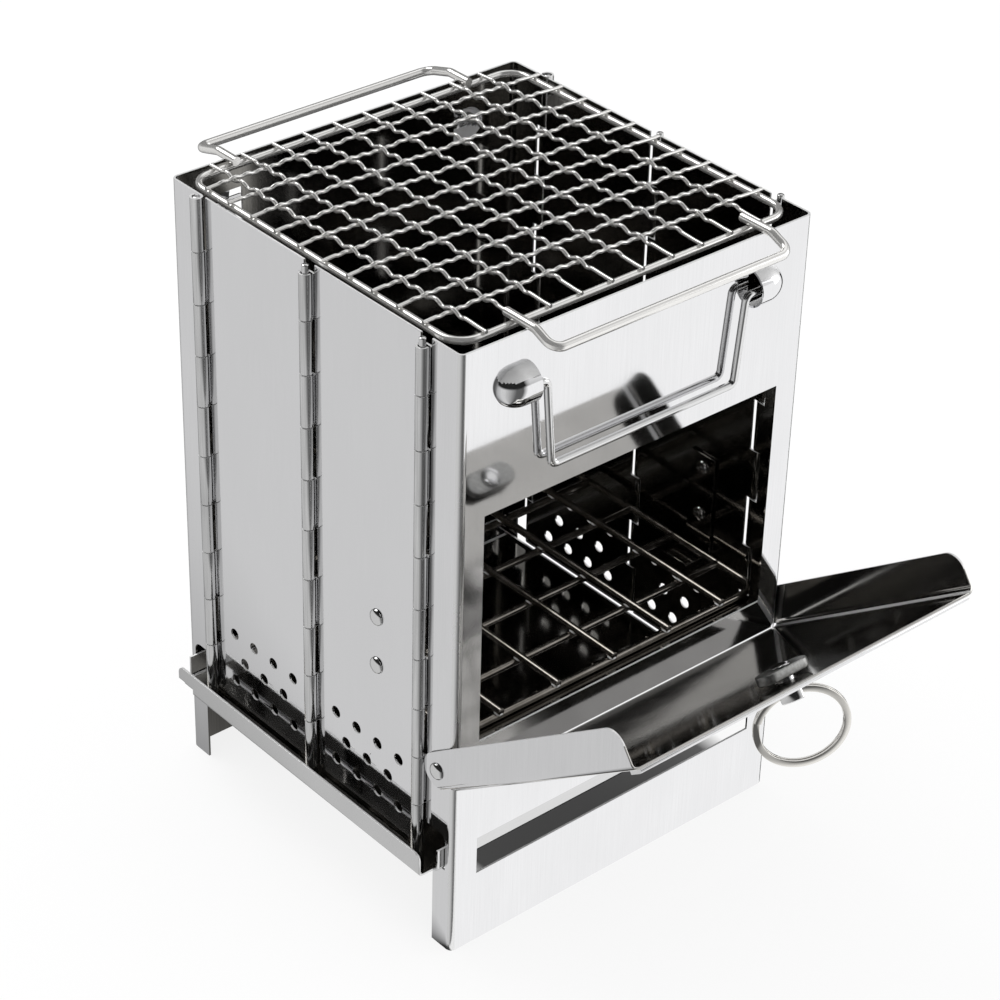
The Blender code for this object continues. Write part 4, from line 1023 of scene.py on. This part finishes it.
def make_latch():
    """Turned stem with a cross hole for the ring, and the cast cam that hooks the door shut."""
    end, hole, head, cam_low, cam_high = latch_levels()
    neck = LATCH_NECK_DIAMETER / 2
    big = neck + LATCH_HEAD_LIP
    tail = neck - LATCH_TAIL_STEP
    cap = tail + LATCH_RIVET_LIP
    cap_low = cam_high + CLEARANCE
    chamfer = RING_HOLE_WALL / 2
    crown = [(cap * sin(a), cap_low + LATCH_RIVET_HEIGHT * cos(a)) for a in quarter(QUARTER_STEPS)]
    profile = crown + [(tail, cap_low), (tail, cam_low - CLEARANCE), (neck, cam_low - CLEARANCE),
                       (neck, head), (big, head), (big, end + chamfer), (big - chamfer, end), (0, end)]
    stem = turned("stem_raw", profile, LATCH_STEPS)
    reach = 2 * big
    flats = bmesh.new()
    for side in (-1, 1):
        x_low, x_high = sided(side, LATCH_HEAD_FLATS / 2, reach)
        add_box(flats, (x_low, -reach, end - SHEET), (x_high, reach, head + SHEET))
    bore = bmesh.new()
    add_rod(bore, (-reach, 0, hole), (reach, 0, hole), RING_HOLE_DIAMETER / 2)
    tools = [work(stem, flats), work(stem, bore)]
    round_edges(stem, LATCH_ROUNDING, degrees=LATCH_EDGE_ANGLE)
    upright = Matrix.Rotation(-pi / 2, 4, "X")
    on_door = DOOR_TURN @ Matrix.Translation((0, 0, LATCH_REACH))
    place = on_door @ Matrix.Rotation(-RING_HOLE_ANGLE, 4, "Y") @ upright
    stem = settle("latch_stem_turned", stem, place, tools)
    shade(stem)
    finish(stem, "door_latch", "latch_stem", ["latch_stem"], LATCH_STEEL)

    half = (CAM_LENGTH - CAM_WIDTH) / 2
    outline = arc((half, 0), CAM_WIDTH / 2, -pi / 2, pi / 2, CAM_END_STEPS)
    outline += arc((-half, 0), CAM_WIDTH / 2, pi / 2, 1.5 * pi, CAM_END_STEPS)
    bm = bmesh.new()
    add_outline(bm, [(x, y, cam_low) for x, y in outline], (0, 0, CAM_THICKNESS))
    cam = shade(object_from("cam_raw", bm))
    bm = bmesh.new()
    add_rod(bm, (0, 0, cam_low - SHEET), (0, 0, cam_high + SHEET), tail + CLEARANCE)
    tool = work(cam, bm)
    round_edges(cam, CAM_ROUNDING, CAM_ROUNDING_STEPS)
    cam = shade(settle("latch_cam_cast", cam, on_door @ upright, [tool]))
    finish(cam, "door_latch", "latch_cam", ["latch_cam"], CAST_ZINC)


def make_ring():
    """The split ring: two flat turns with rounded edges, joined by one short step."""
    across = DOOR_TURN.to_3x3() @ Vector((cos(RING_HOLE_ANGLE), 0, sin(RING_HOLE_ANGLE)))
    down = Vector((0, 0, -1))
    down = (down - across * down.dot(across)).normalized()
    place = DOOR_TURN @ Vector((0, latch_levels()[1], LATCH_REACH))
    pitch = RING_TURN_THICKNESS + RING_TURN_GAP
    half_band = RING_BAND / 2
    half_turn = RING_TURN_THICKNESS / 2
    corner = half_turn * RING_CORNER_SHARE
    section = []
    for x, z, start in ((half_band, -half_turn, -90), (half_band, half_turn, 0),
                        (-half_band, half_turn, 90), (-half_band, -half_turn, 180)):
        centre = (x - copysign(corner, x), z - copysign(corner, z))
        section += arc(centre, corner, radians(start), radians(start + 90), RING_CORNER_STEPS)
    bm = bmesh.new()
    rings = []
    for k in range(2 * RING_STEPS - RING_RAMP_STEPS):
        angle = 2 * pi * k / RING_STEPS
        level = min(max((k - RING_STEPS) / RING_RAMP_STEPS + 1, 0), 1)
        level = level * level * (3 - 2 * level)
        rings.append([bm.verts.new(((RING_RADIUS + x) * cos(angle), (RING_RADIUS + x) * sin(angle),
                                    (level - 0.5) * pitch + z)) for x, z in section])
    skin(bm, rings)
    bm.faces.new(rings[0])
    bm.faces.new(rings[-1])
    bmesh.ops.recalc_face_normals(bm, faces=bm.faces)
    rise = (LATCH_HEAD_FLATS / 2) ** 2 / (4 * RING_RADIUS)
    turn = Matrix((across, down, across.cross(down))).transposed().to_4x4()
    matrix = (Matrix.Translation(place + down * (RING_RADIUS - rise)) @ turn
              @ Matrix.Rotation(RING_STEP_ANGLE, 4, "Z"))
    ring = settle("key_ring_turns", object_from("ring_raw", bm), matrix)
    shade(ring, RING_EDGE_ANGLE)
    finish(ring, "key_ring", "key_ring", ["key_ring"], RING_NICKEL)


def bent_wire(name, points, diameter, corner, material, closed=False, sides=WIRE_SIDES):
    return grow(name, BENT_WIRE, {
        "Wire Radius": diameter / 2, "Corner Radius": corner, "Corner Steps": WIRE_CORNER_STEPS,
        "Sides": sides, "Material": material}, points, closed)


def make_bails():
    """Two hanging wire handles whose bent ends turn in the lugs."""
    top = BAIL_HALF_WIDTH
    path = [(-top - BAIL_PIN_LENGTH, 0), (-top, 0), (BAIL_TAPER - top, -BAIL_DROP)]
    path += [(-x, z) for x, z in reversed(path)]
    for name, y in (("front_bail", FRONT_FACE - BAIL_STANDOFF), ("rear_bail", BACK_FACE + BAIL_STANDOFF)):
        points = [(x, y, BAIL_HEIGHT + z) for x, z in path]
        bail = bent_wire(name + "_wire", points, BAIL_WIRE, BAIL_CORNER_RADIUS, BAIL_STEEL)
        finish(shade(bail, FOLD_ANGLE), name, "bail_wire", [name])


def make_tray():
    """The ash tray: a floor with folded lips in front, behind and at its outer left end."""
    low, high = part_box("ash_tray")
    bm = bmesh.new()
    add_box(bm, low, high)
    open_faces = [f for f in bm.faces if max(f.normal.x, f.normal.z) > EDGE_FACES_UP]
    bmesh.ops.delete(bm, geom=open_faces, context="FACES")
    folded = [e for e in bm.edges if len(e.link_faces) == 2]
    bmesh.ops.bevel(bm, geom=folded, offset=TRAY_EDGE_RADIUS, segments=BEND_STEPS, profile=0.5,
                    affect="EDGES")
    item = thicken(shade(object_from("tray_raw", bm)), -1)
    bm = bmesh.new()
    stop = (high.x - SHEET, low.y + SHEET / 2, low.z + SHEET / 2)
    add_box(bm, stop, (high.x, high.y - SHEET / 2, low.z + SHEET + TRAY_STOP_HEIGHT))
    tools = [work(item, bm, "UNION")]
    bm = bmesh.new()
    free_x = low.x + TRAY_FREE_LENGTH
    r = TRAY_LIP_CORNER
    for edge, inward in ((low.y, 1), (high.y, -1)):
        y_low, y_high = sorted((edge - inward * SHEET, edge + inward * TRAY_FREE_EDGE))
        add_box(bm, (low.x - SHEET, y_low, low.z - SHEET), (free_x, y_high, high.z + SHEET))
    tools.append(work(item, bm))
    bm = bmesh.new()
    for edge, inward in ((low.y + TRAY_FREE_EDGE, 1), (high.y - TRAY_FREE_EDGE, -1)):
        corner = [(edge - inward * SHEET, high.z + SHEET), (edge - inward * SHEET, high.z - r)]
        corner += [(edge + inward * (r - r * cos(a)), high.z - r + r * sin(a))
                   for a in quarter(QUARTER_STEPS)]
        corner += [(edge + inward * r, high.z + SHEET)]
        add_outline(bm, [(low.x - SHEET, y, z) for y, z in corner], (2.5 * SHEET, 0, 0))
    length, height = TRAY_CUT_OUT
    back = high.y - TRAY_FREE_EDGE
    add_box(bm, (low.x - SHEET, back - length, low.z - SHEET),
            (low.x + TRAY_EDGE_RADIUS + SHEET, back + SHEET, low.z + height))
    tools.append(work(item, bm))
    tray = sheet_part("ash_tray_sheet", item, tools)
    finish(tray, "ash_tray", "tray_sheet", ["ash_tray"], CUT_EDGE_HIGHLIGHT, TRAY_STEEL, PAINTED_SHADE_STEEL)
    # Inside faces take the darker steel, painted shade; the outer faces keep the tray's steel.
    for face in tray.data.polygons:
        outer = face.center.x < -WALL_X or face.normal.y < -EDGE_FACES_UP
        face.material_index = 1 if outer else 2
    paint_edge_highlights(tray)


def make_grate():
    """Welded wire grate: a frame, cross wires level with it and long wires on top, with beads."""
    low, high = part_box("grate")
    radius = GRATE_WIRE / 2
    half_x = high.x - radius
    front = low.y + radius
    back = high.y - radius
    z = low.z + radius
    upper = z + GRATE_WIRE - GRATE_WELD
    corners = [(-half_x, front, z), (half_x, front, z), (half_x, back, z), (-half_x, back, z)]
    rail = bent_wire("grate_rail", corners, GRATE_WIRE, GRATE_CORNER_RADIUS, GRATE_STEEL, True, GRATE_SIDES)
    spacing_y = (back - front - 2 * GRATE_CROSS_EDGE) / (GRATE_WIRES - 1)
    spacing_x = (2 * half_x - 2 * GRATE_LONG_EDGE) / (GRATE_WIRES - 1)
    y = front + GRATE_CROSS_EDGE
    x = -half_x + GRATE_LONG_EDGE
    shared = {"Wire Radius": radius, "Count": GRATE_WIRES, "Sides": GRATE_SIDES, "Material": GRATE_STEEL}
    cross = grow("grate_cross", STRAIGHT_WIRES, {
        **shared, "Start": (-half_x, y, z), "End": (half_x, y, z), "Step": (0, spacing_y, 0)})
    along = grow("grate_long", STRAIGHT_WIRES, {
        **shared, "Start": (x, low.y, upper), "End": (x, high.y, upper), "Step": (spacing_x, 0, 0)})
    welds = {"Radius": GRATE_BEAD, "Flatness": GRATE_BEAD_SHAPE, "Width": 2 * (half_x - GRATE_LONG_EDGE),
             "Centre": (0, (front + back) / 2, (z + upper) / 2), "Count Across": GRATE_WIRES,
             "Material": GRATE_STEEL}
    beads = grow("grate_beads", WELD_BEADS, {
        **welds, "Depth": back - front - 2 * GRATE_CROSS_EDGE, "Count Along": GRATE_WIRES})
    ends = grow("grate_end_beads", WELD_BEADS, {**welds, "Depth": back - front, "Count Along": 2})
    grate = joined("grate_wires", rail, cross, along, beads, ends)
    finish(shade(grate, FOLD_ANGLE), "grate", "grate_wire", ["grate"])


def make_brackets():
    """Riveted brackets inside the front leaves that carry the grate's side rails."""
    for word, side in SIDES:
        node = "grate_bracket_" + word
        low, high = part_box(node)
        wall = max(abs(low.x), abs(high.x)) - SHEET / 2
        ledge = min(abs(low.x), abs(high.x))
        seat = low.z + SHEET / 2
        outline = [(wall, high.z), (wall, seat + BRACKET_BEND + SUPPORT)]
        outline += arc((wall - BRACKET_BEND, seat + BRACKET_BEND), BRACKET_BEND, 0, -pi / 2, BEND_STEPS)
        outline += [(wall - BRACKET_BEND - SUPPORT, seat), (ledge, seat)]
        item = bent_sheet(node + "_raw", [(side * x, low.y, z) for x, z in outline],
                          [(side * x, high.y, z) for x, z in outline])
        bm = bmesh.new()
        rivet_rods(bm, side, LEAF_RIVETS, wall - SHEET, wall + SHEET)
        bracket = sheet_part(node + "_sheet", item, [work(item, bm)])
        # The brackets inside the box take the darker steel, painted shade.
        finish(bracket, word + "_front_wall", "side_sheet", [node], PAINTED_SHADE_STEEL)


def make_grill():
    """The cooking grill: frame, woven wires laid on it and two handles over the top edges."""
    low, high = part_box("grill_frame")
    radius = GRILL_FRAME_WIRE / 2
    centre = (low + high) / 2
    half_x = (high.x - low.x) / 2 - radius
    half_y = (high.y - low.y) / 2 - radius
    rail_x = half_x + GRILL_RAIL_SPREAD
    corners = [(centre.x + sx * rail_x, centre.y + sy * half_y, centre.z)
               for sx, sy in ((-1, -1), (1, -1), (1, 1), (-1, 1))]
    rail = bent_wire("grill_rail", corners, GRILL_FRAME_WIRE, GRILL_CORNER_RADIUS, GRILL_STEEL, True)
    finish(shade(rail, FOLD_ANGLE), "grill", "grill_wire", ["grill_frame"])

    first_x = -half_x + GRILL_LONG_EDGE
    first_y = -half_y + GRILL_CROSS_EDGE
    pitches = -2 / (GRILL_WIRES - 1)
    mesh_z = centre.z + radius + CLEARANCE + GRILL_MESH_WIRE / 2
    shift_x, shift_y = GRILL_WEAVE_SHIFT
    end_x = rail_x + GRILL_WIRE_OVERHANG
    end_y = half_y + GRILL_WIRE_OVERHANG
    for kind, first, crossing, low_end, high_end, angle, (crimp, ripple, count) in (
            ("cross", first_y, first_x, -end_x - shift_x, end_x - shift_x, 0, GRILL_CROSS_CRIMP),
            ("long", first_x, first_y, shift_y - end_y, shift_y + end_y, -pi / 2, GRILL_LONG_CRIMP)):
        wires = grow("grill_" + kind + "_wires", WOVEN_WIRES, {
            "Wire Radius": GRILL_MESH_WIRE / 2, "Wires": GRILL_WIRES, "End Drop": CLEARANCE,
            "Steps": GRILL_MESH_STEPS, "Sides": GRILL_MESH_SIDES, "Material": GRILL_STEEL,
            "Centre": (centre.x + shift_x, centre.y + shift_y, mesh_z), "Angle": (0, 0, angle),
            "Crimp": crimp, "Ripple": ripple, "Ripple Count": count, "Low End": low_end,
            "High End": high_end, "First Wire": first, "Wire Pitch": first * pitches,
            "First Crossing": crossing, "Crossing Pitch": crossing * pitches})
        finish(shade(wires, FOLD_ANGLE), "grill", "grill_wire",
               ["grill_%s_wire_%02d" % (kind, k + 1) for k in range(GRILL_WIRES)])

    half = first_x * (1 + (GRILL_WIRES - 2) * pitches) + HANDLE_BESIDE_WIRE
    handle_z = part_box("grill_handle_front")[1].z - HANDLE_WIRE / 2
    for word, side, panel_y in (("front", -1, FRONT_FACE), ("rear", 1, BACK_FACE)):
        node = "grill_handle_" + word
        edge = centre.y + side * half_y
        inner = edge - side * HANDLE_INSET
        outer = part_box(node)[(side + 1) // 2].y - side * HANDLE_WIRE / 2
        bend = panel_y + side * HANDLE_WIRE
        path = [(inner, handle_z), (bend, handle_z), (outer, handle_z - HANDLE_DROP)]
        middle = centre.x + HANDLE_SHIFTS[word]
        points = [(middle - half, y, z) for y, z in path] + [(middle + half, y, z) for y, z in path[::-1]]
        handle = bent_wire(node + "_wire", points, HANDLE_WIRE, HANDLE_CORNER_RADIUS, GRILL_STEEL)
        finish(shade(handle, FOLD_ANGLE), "grill", "grill_wire", [node])


def make_camera():
    data = bpy.data.cameras.new("camera")
    data.lens = CAMERA_LENS
    data.sensor_width = CAMERA_SENSOR
    camera = link(bpy.data.objects.new("camera", data))
    flat = cos(CAMERA_ELEVATION)
    back = Vector((sin(CAMERA_AZIMUTH) * flat, -cos(CAMERA_AZIMUTH) * flat,
                   sin(CAMERA_ELEVATION)))
    right = Vector((cos(CAMERA_AZIMUTH), sin(CAMERA_AZIMUTH), 0))
    up = back.cross(right)
    c, s = cos(CAMERA_ROLL), sin(CAMERA_ROLL)
    turn = Matrix((right * c + up * s, up * c - right * s, back)).transposed().to_4x4()
    camera.matrix_world = Matrix.Translation(CAMERA_PLACE) @ turn
    bpy.context.scene.camera = camera


def flagged(tree, x, y):
    """White at the right front, pale at the left, with dark flags in front and behind."""
    angle = calc(tree, "ARCTAN2", calc(tree, "MULTIPLY", y, -1.0), calc(tree, "MULTIPLY", x, -1.0))
    share = calc(tree, "MULTIPLY_ADD", angle, 0.5 / pi, 0.5)
    ramp = add(tree, "ShaderNodeValToRGB", {0: share})
    stops = ramp.color_ramp.elements
    for degrees, level in FLAG_LEVELS:
        stop = stops.new(degrees / 360 + 0.5) if degrees > -180 else stops[0]
        stop.color = (level, level, level, 1)
    return ramp.outputs[0]


def make_world():
    """A studio: white by the horizon, soft boxes behind, above and at the right, black between
    them. Only metal sees it so. Everything else is lit by plain white."""
    world = bpy.data.worlds.new("studio")
    world.use_nodes = True
    tree = world.node_tree
    background = tree.nodes["Background"]
    direction = add(tree, "ShaderNodeTexCoord").outputs["Generated"]
    x, y, z = add(tree, "ShaderNodeSeparateXYZ", {0: direction}).outputs
    level = calc(tree, "MULTIPLY", spread_to(tree, z, 1, 0, *HORIZON_FADE), flagged(tree, x, y))
    for aim, wide, narrow, power in SOFT_BOXES:
        facing = add(tree, "ShaderNodeVectorMath", {0: direction, 1: Vector(aim).normalized()},
                     operation="DOT_PRODUCT").outputs["Value"]
        box = spread_to(tree, facing, 0, power, cos(wide), cos(narrow))
        level = calc(tree, "MAXIMUM", level, box)
    level = calc(tree, "MAXIMUM", level, STUDIO_BLACK)
    is_glossy = add(tree, "ShaderNodeLightPath").outputs["Is Glossy Ray"]
    feed(tree, background, {"Color": mix(tree, is_glossy, WHITE, level)})
    bpy.context.scene.world = world


def make_floor():
    """A pale floor that keeps the object's shadow, white to the camera and flagged to metal, with a
    painted shadow under the stove."""
    bm = bmesh.new()
    bmesh.ops.create_grid(bm, x_segments=1, y_segments=1, size=FLOOR_SIZE)
    floor = object_from("studio_floor", bm)
    material = bpy.data.materials.new("floor_paper")
    material.use_nodes = True
    tree = material.node_tree
    tree.nodes.remove(tree.nodes["Principled BSDF"])
    place = add(tree, "ShaderNodeNewGeometry").outputs["Position"]
    x, y = add(tree, "ShaderNodeSeparateXYZ", {0: place}).outputs[:2]
    centre_x, centre_y = FLAG_CENTRE
    flag = flagged(tree, calc(tree, "SUBTRACT", x, centre_x), calc(tree, "SUBTRACT", y, centre_y))
    rays = add(tree, "ShaderNodeLightPath")
    colour = mix(tree, rays.outputs["Is Glossy Ray"], WHITE, flag)
    # Painted shadow: the floor's glow is dimmed under the stove.
    across = calc(tree, "ABSOLUTE", calc(tree, "SUBTRACT", x, SHADE_CENTRE_X))
    along = calc(tree, "ABSOLUTE", calc(tree, "SUBTRACT", y, CENTRE_Y))
    under = calc(tree, "MULTIPLY", spread_to(tree, across, SHADE_DEPTH, 0, *SHADE_ACROSS),
                 spread_to(tree, along, 1, 0, *SHADE_ALONG))
    power = calc(tree, "SUBTRACT", 1.0, under)
    paper = add(tree, "ShaderNodeBsdfDiffuse", {"Color": (FLOOR_PAPER, FLOOR_PAPER, FLOOR_PAPER, 1)})
    white = add(tree, "ShaderNodeEmission", {"Color": colour, "Strength": power})
    shown = calc(tree, "MULTIPLY", rays.outputs["Is Camera Ray"], FLOOR_GLOW)
    share = calc(tree, "ADD", shown, rays.outputs["Is Glossy Ray"])
    mixed = add(tree, "ShaderNodeMixShader", {0: share, 1: paper, 2: white})
    feed(tree, tree.nodes["Material Output"], {"Surface": mixed})
    floor.data.materials.append(material)


def make_lamps():
    for name, place, size, power in LAMPS:
        data = bpy.data.lights.new(name, "AREA")
        data.size = size
        data.energy = power
        lamp = link(bpy.data.objects.new(name, data))
        aim = Vector((0, CENTRE_Y, BOX_HEIGHT / 2)) - Vector(place)
        lamp.matrix_world = Matrix.Translation(place) @ aim.to_track_quat("-Z", "Y").to_matrix().to_4x4()


make_camera()
make_world()
make_floor()
make_lamps()
make_panels()
for word, side in SIDES:
    make_leaf(word + "_front", side, HINGE_FRONT, HINGE_MIDDLE, 0, True)
    make_leaf(word + "_rear", side, HINGE_MIDDLE, HINGE_BACK, 1, False)
make_pins()
make_rivets()
make_door()
make_latch()
make_ring()
make_bails()
make_tray()
make_grate()
make_brackets()
make_grill()

bpy.context.scene.view_settings.view_transform = "Standard"
